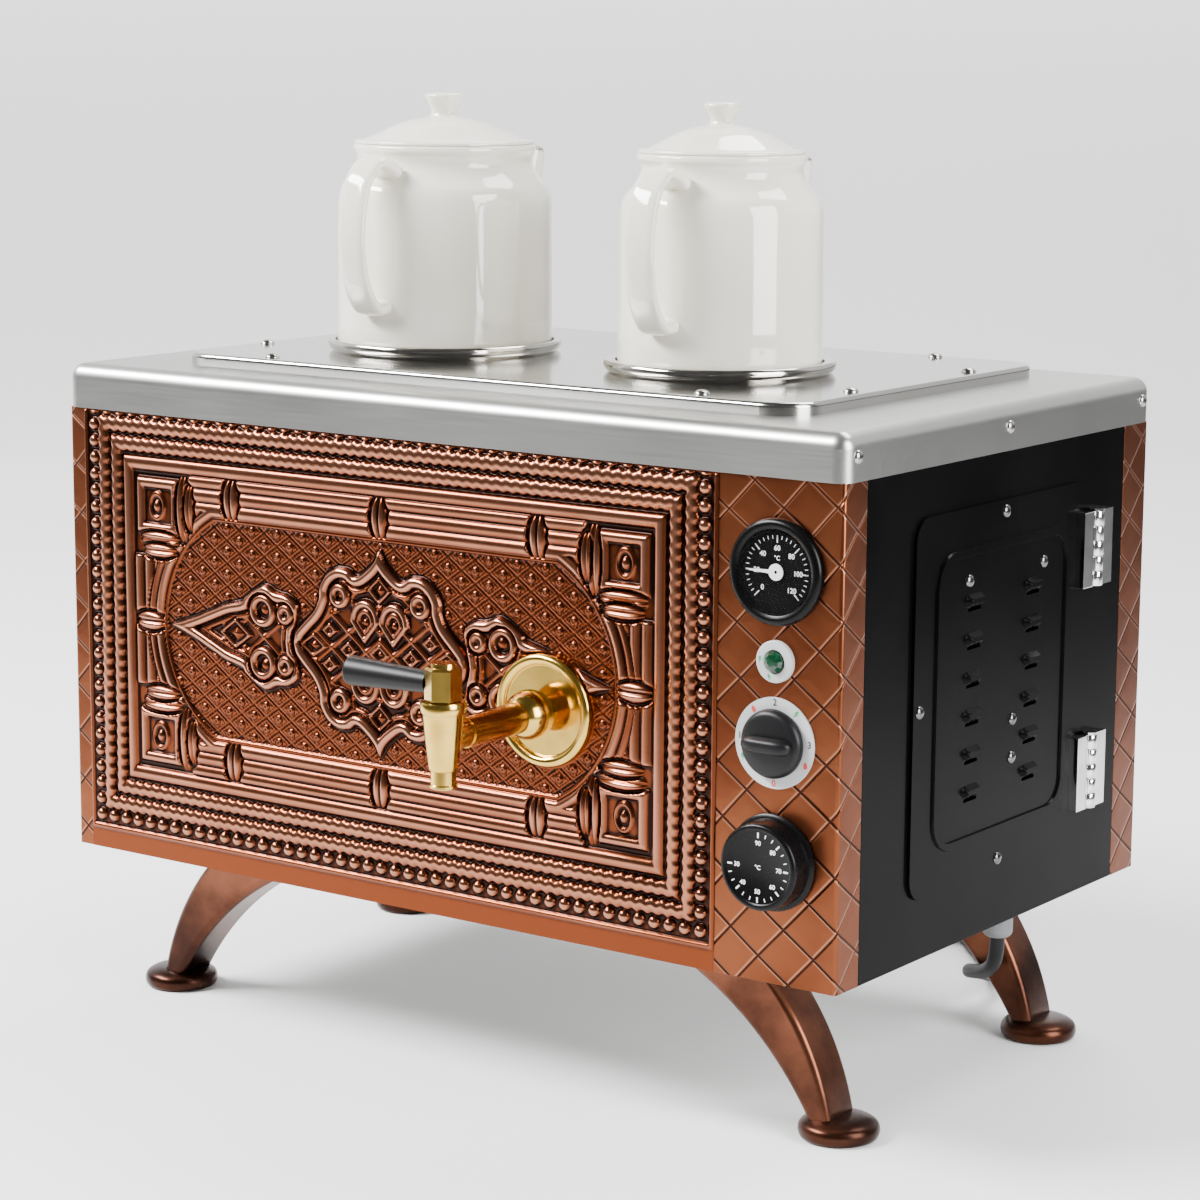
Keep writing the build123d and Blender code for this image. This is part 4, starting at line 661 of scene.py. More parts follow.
class Finishes(Enum):
    """The finishes, with the record's material slot that each belongs to."""

    RELIEF = (ReliefCopper("relief_copper"), "embossed_copper")
    QUILT = (QuiltedCopper("quilted_copper"), "quilted_copper")
    CAST = (CastCopper("cast_copper"), "antique_copper")
    TRAY = (Steel("tray_steel"), "stainless")
    COVER = (Steel("cover_steel", (0.50, 0.495, 0.48), 0.15, 0.06), "bright_stainless")
    RING = (Plate("ring_steel", (0.60, 0.58, 0.54), 0.10), "bright_stainless")
    TANK = (Steel("tank_steel", (0.55, 0.55, 0.54), 0.34, 0.15), "tank_steel")
    ZINC = (Plate("zinc_plate", (0.44, 0.43, 0.41), 0.20), "zinc_steel")
    DARK_ZINC = (Plate("dark_zinc", (0.16, 0.16, 0.165), 0.18), "zinc_steel")
    CHROME = (Plate("chrome_plate", (0.86, 0.86, 0.87), 0.06), "chrome")
    BRASS = (Plate("polished_brass", (0.74, 0.48, 0.10), 0.16), "brass")
    GLAZE = (Glaze("ivory_glaze"), "white_glaze")
    BLACK = (Coat("black_coat", (0.0010, 0.0010, 0.0012), 0.22, 900.0, 0.010, 0.045), "black_coat")
    IRON = (Coat("cast_iron", (0.035, 0.034, 0.033), 0.65, 300.0, 0.25), "burner_iron")
    PLASTIC = (Coat("black_plastic", (0.0012, 0.0012, 0.0014), 0.28, 600.0, 0.004, 0.14), "black_plastic")
    CHARCOAL = (Coat("charcoal_plastic", (0.0045, 0.0045, 0.0052), 0.40, 500.0, 0.02, 0.22),
                "black_plastic")
    DIAL = (Coat("dial_black", (0.0010, 0.0010, 0.0012), 0.60, 800.0, 0.004, 0.03), "dial_black")
    INK = (Coat("white_print", (0.92, 0.92, 0.90), 0.55, 600.0, 0.01), "white_print")
    PLATE = (Coat("label_plate", (0.44, 0.45, 0.45), 0.35, 500.0, 0.02), "label_plate")
    GREY = (Coat("grey_plastic", (0.11, 0.113, 0.116), 0.50, 500.0, 0.05), "grey_plastic")
    SEAL = (Coat("red_silicone", (0.36, 0.06, 0.035), 0.55, 400.0, 0.05), "seal_rubber")
    SHEATH = (Coat("cable_sheath", (0.006, 0.006, 0.006), 0.46, 500.0, 0.04, 0.18), "cord_black")
    PLUG = (PlugMoulding("plug_moulding"), "cord_black")
    GREEN = (Lens("green_lens"), "lamp_lens")
    RED_INK = (Coat("red_print", (0.60, 0.03, 0.03), 0.5, 600.0, 0.01), "label_plate")
    GREEN_INK = (Coat("green_print", (0.02, 0.28, 0.10), 0.5, 600.0, 0.01), "label_plate")
    BLACK_INK = (Coat("black_print", (0.015, 0.015, 0.015), 0.5, 600.0, 0.01), "label_plate")
    GLASS = (ClearGlass("clear_glass"), "clear_glass")

    @property
    def material(self) -> bpy.types.Material:
        """Return the finish's material."""
        return self.value[0].build()

    @property
    def slot(self) -> str:
        """Return the record's material slot."""
        return self.value[1]


@dataclass
class Bag:
    """Vertices and faces of one piece, in millimetres in the part's frame."""

    points: list[tuple[float, float, float]] = field(default_factory=list)
    faces: list[tuple[int, ...]] = field(default_factory=list)

    def add(self, points: Iterable[Point], faces: Iterable[Sequence[int]]) -> None:
        """Append points and the faces between them.

        Args:
            points: the points.
            faces: corners of each face, counted from the first of these points.
        """
        start = len(self.points)
        self.points.extend(tuple(float(part) for part in point) for point in points)
        self.faces.extend(tuple(start + index for index in face) for face in faces)

    def lattice(self, rows: Sequence[Sequence[Point]], close_columns: bool = False) -> None:
        """Append a net of quads through closed rows of equally many points.

        Args:
            rows: the rows, each joined to itself at its ends.
            close_columns: join the last row to the first one.
        """
        height, width = len(rows), len(rows[0])
        faces = []
        for i in range(height if close_columns else height - 1):
            for j in range(width):
                k, m = (i + 1) % height, (j + 1) % width
                faces.append((i * width + j, i * width + m, k * width + m, k * width + j))
        self.add([point for row in rows for point in row], faces)

    def lathe(self, profile: Sequence[Pair], centre: Point, axis: Vector = UP, sides: int = 96) -> None:
        """Append a profile of radii and heights turned about an axis.

        Args:
            profile: pairs of radius and height.
            centre: where the axis has height 0.
            axis: direction of the axis.
            sides: points round the axis.
        """
        first = axis.orthogonal().normalized()
        second = axis.cross(first)
        rows = []
        for radius, height in profile:
            row = []
            for step in range(sides):
                angle = FULL_TURN * step / sides
                spoke = first * math.cos(angle) + second * math.sin(angle)
                row.append(Vector(centre) + axis * height + spoke * max(radius, 1e-4))
            rows.append(row)
        self.lattice(rows)

    def sweep(self, path: Sequence[Vector], across: Vector, half_w: Sequence[float], half_t: Sequence[float],
              sides: int, power: float) -> None:
        """Append a tube of rounded section along a path that lies in a plane.

        Args:
            path: points along the middle.
            across: direction of the section's width, square to the path's plane.
            half_w: half widths along the path.
            half_t: half thicknesses along the path.
            sides: points round the section.
            power: 2 for an ellipse, more for a squarer section.
        """
        rows = []
        for index, point in enumerate(path):
            ahead = path[min(index + 1, len(path) - 1)] - path[max(index - 1, 0)]
            out = across.cross(ahead).normalized()
            row = []
            for step in range(sides):
                angle = FULL_TURN * step / sides
                c, s = math.cos(angle), math.sin(angle)
                u = math.copysign(abs(c) ** (2 / power), c) * half_w[index]
                v = math.copysign(abs(s) ** (2 / power), s) * half_t[index]
                row.append(point + across * u + out * v)
            rows.append(row)
        self.lattice(rows)
        start = len(self.points)
        self.faces.append(tuple(range(start - sides, start)))
        first = start - sides * len(path)
        self.faces.append(tuple(reversed(range(first, first + sides))))

    def prism(self, outline: Sequence[Pair], to_part: Matrix, lift: float) -> None:
        """Append a flat shape with a thickness, in a plane of the part.

        Args:
            outline: corners of the shape.
            to_part: from the shape's plane to the part's frame.
            lift: the thickness.
        """
        count = len(outline)
        points = [to_part @ Vector((x, y, high)) for high in (0.0, lift) for x, y in outline]
        sides = [(i, (i + 1) % count, count + (i + 1) % count, count + i) for i in range(count)]
        self.add(points, [*sides, tuple(reversed(range(count))), tuple(range(count, 2 * count))])

    def words(self, text: str, size: float, to_part: Matrix, lift: float) -> None:
        """Append flat lettering, centred, in a plane of the part.

        Args:
            text: what to write.
            size: height of the letters' line.
            to_part: from the lettering's plane to the part's frame.
            lift: thickness of the print.
        """
        curve = bpy.data.curves.new("lettering", "FONT")
        curve.body = text
        curve.size = size
        curve.align_x = curve.align_y = "CENTER"
        curve.extrude = lift / 2
        curve.offset = 0.012 * size
        holder = bpy.data.objects.new("lettering", curve)
        mesh = bpy.data.meshes.new_from_object(holder)
        self.add([to_part @ vertex.co for vertex in mesh.vertices], [face.vertices for face in mesh.polygons])
        bpy.data.objects.remove(holder)
        bpy.data.curves.remove(curve)
        bpy.data.meshes.remove(mesh)

    def piece(self, name: str, body: str, finish: Finishes, replaces: Sequence[str] = (),
              sharp: float = 35.0) -> None:
        """Turn the bag into a piece of the part.

        Args:
            name: the piece's name.
            body: the CAD body that it moves with.
            finish: its finish.
            replaces: CAD nodes that it stands for.
            sharp: edges that turn by more degrees than this stay sharp.
        """
        place_mesh(self.mesh(name, sharp), name, body, finish, replaces)

    def mesh(self, name: str, sharp: float = 35.0) -> bpy.types.Mesh:
        """Return the bag as a mesh, with its seams and poles closed.

        Args:
            name: the mesh's name.
            sharp: edges that turn by more degrees than this stay sharp.

        Returns:
            The mesh.
        """
        mesh = bpy.data.meshes.new(name)
        mesh.from_pydata([[part * MM for part in point] for point in self.points], [], self.faces)
        work = bmesh.new()
        work.from_mesh(mesh)
        bmesh.ops.remove_doubles(work, verts=work.verts, dist=WELD * MM)
        work.to_mesh(mesh)
        work.free()
        mesh.validate()
        return shaded(mesh, sharp)


def shaded(mesh: bpy.types.Mesh, sharp: float) -> bpy.types.Mesh:
    """Return a mesh with smooth faces and its sharp edges kept.

    Args:
        mesh: the mesh to shade.
        sharp: edges that turn by more degrees than this stay sharp.

    Returns:
        The same mesh.
    """
    mesh.shade_smooth()
    mesh.set_sharp_from_angle(angle=math.radians(sharp))
    return mesh


def linked(name: str, data: bpy.types.ID) -> bpy.types.Object:
    """Return a new object in the scene.

    Args:
        name: the object's name.
        data: its mesh, curve, camera or light.

    Returns:
        The object.
    """
    thing = bpy.data.objects.new(name, data)
    bpy.context.scene.collection.objects.link(thing)
    return thing


def place_mesh(mesh: bpy.types.Mesh, name: str, body: str, finish: Finishes,
               replaces: Sequence[str] = ()) -> None:
    """Link a mesh as a piece, with its finish, body and the nodes that it stands for.

    Args:
        mesh: the piece's mesh, in metres in the part's frame.
        name: the piece's name.
        body: the CAD body that it moves with.
        finish: its finish.
        replaces: CAD nodes that it stands for.
    """
    mesh.materials.clear()
    mesh.materials.append(finish.material)
    piece = linked(name, mesh)
    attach(piece, body)
    finish.slot
    if replaces:
        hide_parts(*replaces)
    LOG.info("%s on %s in %s, %d faces", name, body, finish.name.lower(), len(mesh.polygons))


def solids(node: bpy.types.Object) -> list[tuple[Vector, Vector]]:
    """Return the lowest and highest corners of each separate solid in a CAD node, in metres.

    Args:
        node: the node's object.

    Returns:
        The pairs of corners, from the lowest solid in X.
    """
    work = bmesh.new()
    work.from_mesh(node.data)
    bmesh.ops.remove_doubles(work, verts=work.verts, dist=WELD / 2 * MM)
    left = set(work.verts)
    boxes = []
    while left:
        front = [left.pop()]
        group = []
        while front:
            spot = front.pop()
            group.append(spot.co.copy())
            for edge in spot.link_edges:
                other = edge.other_vert(spot)
                if other in left:
                    left.remove(other)
                    front.append(other)
        boxes.append(tuple(Vector([pick(co[i] for co in group) for i in range(3)]) for pick in (min, max)))
    work.free()
    return sorted(boxes, key=lambda box: tuple(round(part, 5) for part in box[0]))


def curve_through(points: Sequence[Point], steps: int) -> list[Vector]:
    """Return points on a smooth curve through the given ones.

    Args:
        points: the given points.
        steps: points made for each of them.

    Returns:
        The points.
    """
    knots = [Vector(point) for point in points]
    knots = [2 * knots[0] - knots[1], *knots, 2 * knots[-1] - knots[-2]]
    line = []
    for a, b, c, d in zip(knots, knots[1:], knots[2:], knots[3:]):
        for step in range(steps):
            t = step / steps
            line.append(0.5 * (2 * b + (c - a) * t + (2 * a - 5 * b + 4 * c - d) * t ** 2
                               + (3 * b - a - 3 * c + d) * t ** 3))
    line.append(knots[-2])
    return line


def profile_through(*pairs: Pair, steps: int = 6) -> list[Pair]:
    """Return pairs on a smooth flat curve through the given ones."""
    return [(spot.x, spot.y) for spot in curve_through([(*pair, 0.0) for pair in pairs], steps)]


def round_angles(count: int) -> np.ndarray:
    """Return equally spaced angles of a full turn, in radians."""
    return np.linspace(0, FULL_TURN, count, endpoint=False)


def fronting(x: float, z: float, out: float) -> Matrix:
    """Return the placing of a drawing on the front: X right, Y up, standing out by some millimetres."""
    turn = Matrix(((1, 0, 0), (0, 0, -1), (0, 1, 0))).to_4x4()
    return Matrix.Translation((x, FRONT_Y - out, z)) @ turn


@dataclass(frozen=True)
class Relief:
    """The pressed front: rings, beads, reeds, leaves and an arabesque on a diapered field."""

    left: float = -239.3
    right: float = 180.0
    low: float = 100.6
    middle_z: float = 223.6
    cell: float = 0.5
    tiles: int = 5
    inner: float = 41.0
    rope_pitch: float = 6.2
    bead_pitch: float = 9.1
    bead_r: float = 3.5
    bead_rise: float = 2.9
    bead_inset: Pair = (7.95, 8.75)
    corner: Pair = (154.8, 63.7)
    sharp_share: float = 0.45
    groove_share: float = 0.35
    tap_pad: float = 28.6
    pipe_hole: float = 7.2
    sheet_gap: float = 0.9

    # A height that loses against any other
    AWAY = -9.0
    # Inset, half width, rise and ripple of the frames
    RINGS = ((1.8, 1.5, 1.3, 0.0), (16.8, 4.3, 2.8, 0.5), (26.9, 4.3, 2.8, 0.4), (36.6, 4.0, 2.6, 0.0))
    # Middle lines of the reeds inside the frames
    LEVEL_REEDS = (64.9, 72.2, 79.6)
    UPRIGHT_REEDS = (154.6, 161.8, 168.9)
    # Middle and half sizes of the leaves and lozenges, middle and radius of the curls
    LEAVES = (((0, 71.5), (5.4, 11.4)), ((102, 71.5), (5.4, 11.4)), ((136.6, 63.7), (4.4, 18.5)),
              ((132.0, 64.5), (3.2, 13.0)), ((154.3, 45.6), (15.0, 4.4)), ((154.3, 39.4), (13.0, 4.0)),
              ((161.5, 0.0), (11.0, 5.4)))
    LOZENGES = (((99.5, 0.0), (11.0, 8.0)), ((0.0, 33.7), (7.6, 7.0)), ((20.9, 0.0), (5.0, 4.0)),
                ((44.8, 0.0), (9.0, 6.0)), ((33.7, 9.2), (4.4, 3.4)), ((0.0, 0.0), (6.0, 4.6)))
    CURLS = (((80.3, 14.2), 9.3), ((64.4, 13.9), 6.0), ((27.0, 28.0), 7.0))
    # Outlines in one quarter, from the tip to the level middle line
    MEDALLION = ((0, 56), (3.7, 49.2), (9, 44), (15.3, 40.3), (20, 43), (27, 43.7), (33, 41.5), (37.5, 37.5),
                 (40.9, 31.4), (41.4, 25.5), (44.8, 19), (52.6, 11.4), (57.5, 6), (59, 0))
    FINIAL = ((148, 0), (130.3, 5.9), (117, 11.4), (105.9, 15.9), (94.8, 18.7), (92.5, 21.4), (79.2, 28.7),
              (70.3, 25.9), (62.5, 24.8), (55.9, 20.3), (55.9, 13.7), (57, 9.2), (58, 0))

    @staticmethod
    def over(*heights: np.ndarray) -> np.ndarray:
        """Return the highest of several heights at each point."""
        return np.maximum.reduce(heights)

    def reed(self, offset: np.ndarray, half: float, rise: float) -> np.ndarray:
        """Return a half-round ridge by the distance from its middle."""
        curve = rise * np.sqrt(np.clip(1 - (offset / half) ** 2, 0, None))
        return np.where(np.abs(offset) < half, curve, self.AWAY)

    def dome(self, share: np.ndarray, rise: float, base: float) -> np.ndarray:
        """Return a round boss by the share of its radius."""
        return np.where(share < 1, rise * np.sqrt(np.clip(1 - share ** 2, 0, None)) + base, self.AWAY)

    def leaf(self, u: np.ndarray, w: np.ndarray, at: Point, half: Point) -> np.ndarray:
        """Return a pointed leaf with a groove along its longer axis.

        Args:
            u: distances from the upright middle line.
            w: distances from the level middle line.
            at: the leaf's middle.
            half: its half sizes.

        Returns:
            The heights.
        """
        du, dw = (u - at[0]) / half[0], (w - at[1]) / half[1]
        body = np.clip(1 - du ** 2 - dw ** 2, 0, None)
        groove = np.abs(du if half[1] > half[0] else dw) * min(half)
        return np.where(body > 0, 3.4 * np.sqrt(body) - 1.8 * np.exp(-groove ** 2), self.AWAY)

    def beads(self, u: np.ndarray, w: np.ndarray, half_w: float, half_h: float) -> np.ndarray:
        """Return the row of beads round the edge.

        Args:
            u: distances from the upright middle line.
            w: distances from the level middle line.
            half_w: half the width of the row's oblong.
            half_h: half its height.

        Returns:
            The heights.
        """
        total = np.full_like(u, self.AWAY)
        for run, side, length, reach in ((u, w, half_w, half_h), (w, u, half_h, half_w)):
            pitch = 2 * length / round(2 * length / self.bead_pitch)
            nearest = np.abs((run + length + pitch / 2) % pitch - pitch / 2)
            spot = np.hypot(nearest, np.abs(side) - reach)
            bead = self.dome(spot / self.bead_r, self.bead_rise, 0.0)
            total = self.over(total, np.where(np.abs(run) < length + pitch / 2, bead, self.AWAY))
        return total

    def heights(self, x: np.ndarray, z: np.ndarray) -> np.ndarray:
        """Return the relief's height in front of the sheet at each point.

        Args:
            x: places along X.
            z: places along Z.

        Returns:
            The heights.
        """
        half_w = (self.right - self.left) / 2
        half_h = self.middle_z - self.low
        u = x - (self.left + self.right) / 2
        w = z - self.middle_z
        from_side = (half_w - np.abs(u)) * 1.1
        from_end = half_h - np.abs(w)
        edge = np.minimum(from_side, from_end)
        along = np.where(from_side < from_end, w, u)
        height = np.where(edge > 0, -0.4, 0.0)
        for inset, half, rise, wave in self.RINGS:
            middle = inset + wave * np.cos(FULL_TURN * along / self.rope_pitch)
            height = self.over(height, self.reed(edge - middle, half, rise))
        side, end = self.bead_inset
        height = self.over(height, self.beads(u, w, half_w - side, half_h - end))
        return np.where(edge > self.inner, self.inside(np.abs(u), np.abs(w)), height)

    def inside(self, u: np.ndarray, w: np.ndarray) -> np.ndarray:
        """Return the height inside the rings, in one quarter of the front.

        Args:
            u: distances from the upright middle line.
            w: distances from the level middle line.

        Returns:
            The heights.
        """
        arc_mid, arc_r, straight, edge_w = 82.5, 67.0, 114.0, 59.0
        oblong = np.where(u < straight, w - edge_w, np.maximum(np.hypot(u - arc_mid, w) - arc_r, w - edge_w))
        height = np.full_like(u, -0.7)
        for middle in self.LEVEL_REEDS:
            height = self.over(height, np.where(u < 132, self.reed(w - middle, 3.7, 2.5), self.AWAY))
        for middle in self.UPRIGHT_REEDS:
            height = self.over(height, np.where(w < 36, self.reed(u - middle, 3.6, 2.4), self.AWAY))
        arch = (u > 100) & (oblong > 0) & (oblong < 13.2) & (w < 64)
        arches = self.over(self.reed(oblong - 5.2, 3.0, 2.6), self.reed(oblong - 10.6, 2.6, 2.1))
        height = np.where(arch, np.maximum(arches, -0.6), height)
        square = np.maximum(np.abs(u - self.corner[0]), np.abs(w - self.corner[1]))
        height = np.where(square < 16.0, np.where(square < 9.2, 0.3, -0.6), height)
        boss = np.hypot((u - self.corner[0] - 0.8) / 2.6, (w - self.corner[1]) / 3.6)
        height = self.over(height, self.reed(square - 12.4, 3.0, 2.5), self.dome(boss, 2.6, -0.4),
                           self.reed((boss - 1.9) * 2.9, 1.4, 1.7))
        for at, half in self.LEAVES:
            around = np.hypot((u - at[0]) / (half[0] + 1.4), (w - at[1]) / (half[1] + 1.4))
            height = self.over(np.where(around < 1, -0.7, height), self.leaf(u, w, at, half))
        height = np.maximum(height, np.where(oblong > 0, self.reed(oblong - 1.0, 1.1, 1.1), -1.0))
        return np.where(oblong < 0, self.diapered(u, w), height)

    def diapered(self, u: np.ndarray, w: np.ndarray) -> np.ndarray:
        """Return the height in the oblong field: diamonds with rings, under an arabesque.

        Args:
            u: distances from the upright middle line.
            w: distances from the level middle line.

        Returns:
            The heights.
        """
        wide, tall = 17.7, 12.5
        slant = math.hypot(1 / wide, 1 / tall)
        rise, fall = u / wide + w / tall, u / wide - w / tall
        off_rise, off_fall = rise - np.floor(rise) - 0.5, fall - np.floor(fall) - 0.5
        shell = 2 * np.maximum(np.abs(off_rise), np.abs(off_fall))
        ring = np.hypot((off_rise + off_fall) * wide / 2, (off_rise - off_fall) * tall / 2)
        height = np.where((1 - shell) / (2 * slant) < 0.62, -1.5, -0.1)
        height = np.where(np.abs(shell - 0.66) / (2 * slant) < 0.30, -1.2, height)
        height = np.where(ring < 2.9, -1.3, height)
        height = self.over(height, self.reed(ring - 1.25, 0.95, 0.9) - 0.1)
        for outline, hub, band in ((self.FINIAL, (100.0, 0.0), 3.3), (self.MEDALLION, (0.0, 0.0), 3.5)):
            depth = self.depth(u, w, outline, hub)
            height = np.where(depth > -1.2, -1.2, height)
            height = np.where(depth > band + 6.0, self.netted(u, w), height)
            height = self.over(height, self.reed(depth - band, 3.1, 3.2),
                               self.reed(depth - band - 5.2, 1.5, 1.7))
        return self.jewels(u, w, height)

    def netted(self, u: np.ndarray, w: np.ndarray) -> np.ndarray:
        """Return the open lattice inside the arabesque.

        Args:
            u: distances from the upright middle line.
            w: distances from the level middle line.

        Returns:
            The heights.
        """
        start, wide, tall = 9.2, 23.4, 18.0
        rise, fall = (u - start) / wide + w / tall, (u - start) / wide - w / tall
        slant = math.hypot(1 / wide, 1 / tall)
        line = np.minimum(np.abs(rise - np.round(rise)), np.abs(fall - np.round(fall))) / slant
        return np.maximum(self.reed(line, 1.5, 1.8) - 0.5, -0.6)

    def jewels(self, u: np.ndarray, w: np.ndarray, height: np.ndarray) -> np.ndarray:
        """Return the height with the arabesque's curls, drops and lozenges laid on.

        Args:
            u: distances from the upright middle line.
            w: distances from the level middle line.
            height: the heights so far.

        Returns:
            The heights.
        """
        sunk = -0.9
        for at, radius in self.CURLS:
            spot = np.hypot(u - at[0], w - at[1])
            curl = np.hypot(u - at[0] + 0.12 * radius, w - at[1] - 0.1 * radius)
            height = self.over(np.where(spot < radius + 0.8, sunk, height),
                               self.reed(spot - radius + 2.4, 2.4, 2.5),
                               self.dome(curl / (0.36 * radius), 2.3, -0.8))
        drop_u, drop_w, drop_r = 9.6, 15.9, 9.6
        du = np.abs(u - drop_u)
        tip = du / drop_r + (drop_w - w) / 11.4
        pointed = np.where(w > drop_w, np.hypot(du / drop_r, (w - drop_w) / 11.6), tip)
        height = self.over(np.where(pointed < 1.06, sunk, height),
                           self.reed((pointed - 0.84) * drop_r, 1.9, 2.6),
                           self.reed((pointed - 0.48) * drop_r, 1.5, 2.0),
                           self.dome(np.hypot(u - drop_u, w - drop_w) / 2.4, 2.4, -0.8))
        for at, half in self.LOZENGES:
            lozenge = np.abs(u - at[0]) / half[0] + np.abs(w - at[1]) / half[1]
            height = self.over(np.where(lozenge < 1.2, sunk, height),
                               self.reed((lozenge - 0.9) * min(half), 1.4, 2.0),
                               np.where(lozenge < 0.6, 1.8 - 4.0 * lozenge, self.AWAY))
        return height

    @staticmethod
    def depth(u: np.ndarray, w: np.ndarray, outline: Sequence[Pair], hub: Pair) -> np.ndarray:
        """Return how far each point lies inside an outline drawn in one quarter, negative outside.

        Args:
            u: distances from the upright middle line.
            w: distances from the level middle line.
            outline: corners of the outline.
            hub: point that closes it on the middle lines.

        Returns:
            The distances.
        """
        gap = np.full_like(u, 99.0)
        within = np.zeros(u.shape, dtype=bool)
        line = profile_through(*outline, steps=5)
        for (au, aw), (bu, bw) in zip(line, line[1:]):
            run_u, run_w = bu - au, bw - aw
            t = np.clip(((u - au) * run_u + (w - aw) * run_w) / (run_u ** 2 + run_w ** 2 + 1e-9), 0, 1)
            gap = np.minimum(gap, np.hypot(u - au - t * run_u, w - aw - t * run_w))
        loop = [*line, hub]
        for (au, aw), (bu, bw) in zip(loop, [*loop[1:], loop[0]]):
            crossing = (aw > w) != (bw > w)
            within ^= crossing & (u < au + (w - aw) * (bu - au) / (bw - aw + 1e-12))
        within |= (w < 1e-6) & (u > min(a for a, _ in line)) & (u < max(a for a, _ in line))
        return np.where(within, gap, -gap)

    @staticmethod
    def blur(values: np.ndarray, reach: int) -> np.ndarray:
        """Return a box blur over some cells each way, applied twice, by turning the field between passes.

        Args:
            values: the field.
            reach: cells to each side.

        Returns:
            The blurred field.
        """
        span = 2 * reach + 1
        for _ in range(4):
            padded = np.pad(values, ((reach, reach), (0, 0)), mode="edge")
            total = np.insert(np.cumsum(padded, axis=0), 0, 0.0, axis=0)
            values = ((total[span:] - total[:-span]) / span).T
        return values

    def build(self) -> None:
        """Make the front's pieces in place of the plain CAD panel."""
        columns = np.linspace(self.left, self.right, int((self.right - self.left) / self.cell) + 1)
        rows = np.linspace(BASE_Z, PANEL_TOP, int((PANEL_TOP - BASE_Z) / self.cell) + 1)
        x, z = np.meshgrid(columns, rows)
        pad = np.clip((np.hypot(x - TAP_X, z - TAP_Z) - self.tap_pad) / 2.0, 0, 1)
        under_skirt = np.clip((SKIRT_Z - 0.3 - z) / 0.9, 0, 1)
        pressed = self.heights(x, z) * pad * under_skirt
        shallow = np.where(pressed < 0, self.groove_share * pressed, pressed)
        height = self.sharp_share * shallow + (1 - self.sharp_share) * self.blur(shallow, 1)
        height = np.minimum(height, 0.9 + 9 * under_skirt) * np.where(under_skirt > 0, 1, 0)
        tone = np.clip((height - self.blur(height, 7)) * 0.28 + height * 0.15 + 0.08, 0, 1)
        slope_z, slope_x = np.gradient(height, rows, columns)
        # Painted shade: flanks that face down or to the right are darkened, as if lit from above left
        shaded_side = np.clip(0.28 * slope_z - 0.16 * slope_x - 0.05, 0, 0.5)
        # Patina in the hollows, with the painted shade of the flanks added
        patina_and_shade = np.clip((self.blur(pressed, 4) - 0.7 * pressed - 0.3 * height) * 1.2 + shaded_side, 0, 1)
        normals = -np.stack([slope_x, np.ones_like(x), slope_z], axis=-1)
        normals /= np.linalg.norm(normals, axis=-1, keepdims=True)
        points = np.stack([x, FRONT_Y - height, z], axis=-1) * MM
        cuts = np.linspace(0, len(columns) - 1, self.tiles + 1).astype(int)
        for number, (first, last) in enumerate(zip(cuts, cuts[1:])):
            strip = slice(first, last + 1)
            values = {"tone": tone[:, strip], "patina_and_shade": patina_and_shade[:, strip]}
            self.tile(f"front_relief_{number}", points[:, strip], normals[:, strip], values,
                      ("front_panel",) if number == 0 else ())
        self.backing()

    @staticmethod
    def tile(name: str, points: np.ndarray, normals: np.ndarray, values: dict[str, np.ndarray],
             replaces: Sequence[str]) -> None:
        """Make one upright strip of the relief.

        Args:
            name: the piece's name.
            points: places of its vertices, by row and column.
            normals: their normals.
            values: numbers to store on them, by name.
            replaces: CAD nodes that the strip stands for.
        """
        tall, wide, _ = points.shape
        index = np.arange(tall * wide).reshape(tall, wide)
        corners = (index[:-1, :-1], index[:-1, 1:], index[1:, 1:], index[1:, :-1])
        quads = np.stack(corners, axis=-1).reshape(-1, 4)
        mesh = bpy.data.meshes.new(name)
        mesh.from_pydata(points.reshape(-1, 3), [], quads)
        for key, numbers in values.items():
            stored = mesh.attributes.new(key, "FLOAT", "POINT")
            stored.data.foreach_set("value", numbers.astype(np.float32).ravel())
        mesh.shade_smooth()
        mesh.normals_split_custom_set_from_vertices(normals.reshape(-1, 3).tolist())
        place_mesh(mesh, name, "cabinet", Finishes.RELIEF, replaces)

    def backing(self) -> None:
        """Make the sheet behind the relief, with its pipe hole."""
        hole = [Vector((TAP_X + self.pipe_hole * math.cos(a), 0, TAP_Z + self.pipe_hole * math.sin(a)))
                for a in round_angles(48)]
        corners = []
        for spot in hole:
            way = Vector((spot.x - TAP_X, 0, spot.z - TAP_Z))
            reach = min(
                ((self.right if way.x > 0 else self.left) - TAP_X) / way.x if abs(way.x) > 1e-6 else 1e9,
                ((PANEL_TOP if way.z > 0 else BASE_Z) - TAP_Z) / way.z if abs(way.z) > 1e-6 else 1e9,
            )
            corners.append(Vector((TAP_X, 0, TAP_Z)) + way * reach)
        near, far = FRONT_Y + self.sheet_gap, FRONT_Y + SHEET
        rows = [[Vector((spot.x, y, spot.z)) for spot in ring]
                for ring, y in ((hole, near), (corners, near), (corners, far), (hole, far))]
        bag = Bag()
        bag.lattice(rows, close_columns=True)
        bag.piece("front_backing", "cabinet", Finishes.QUILT)


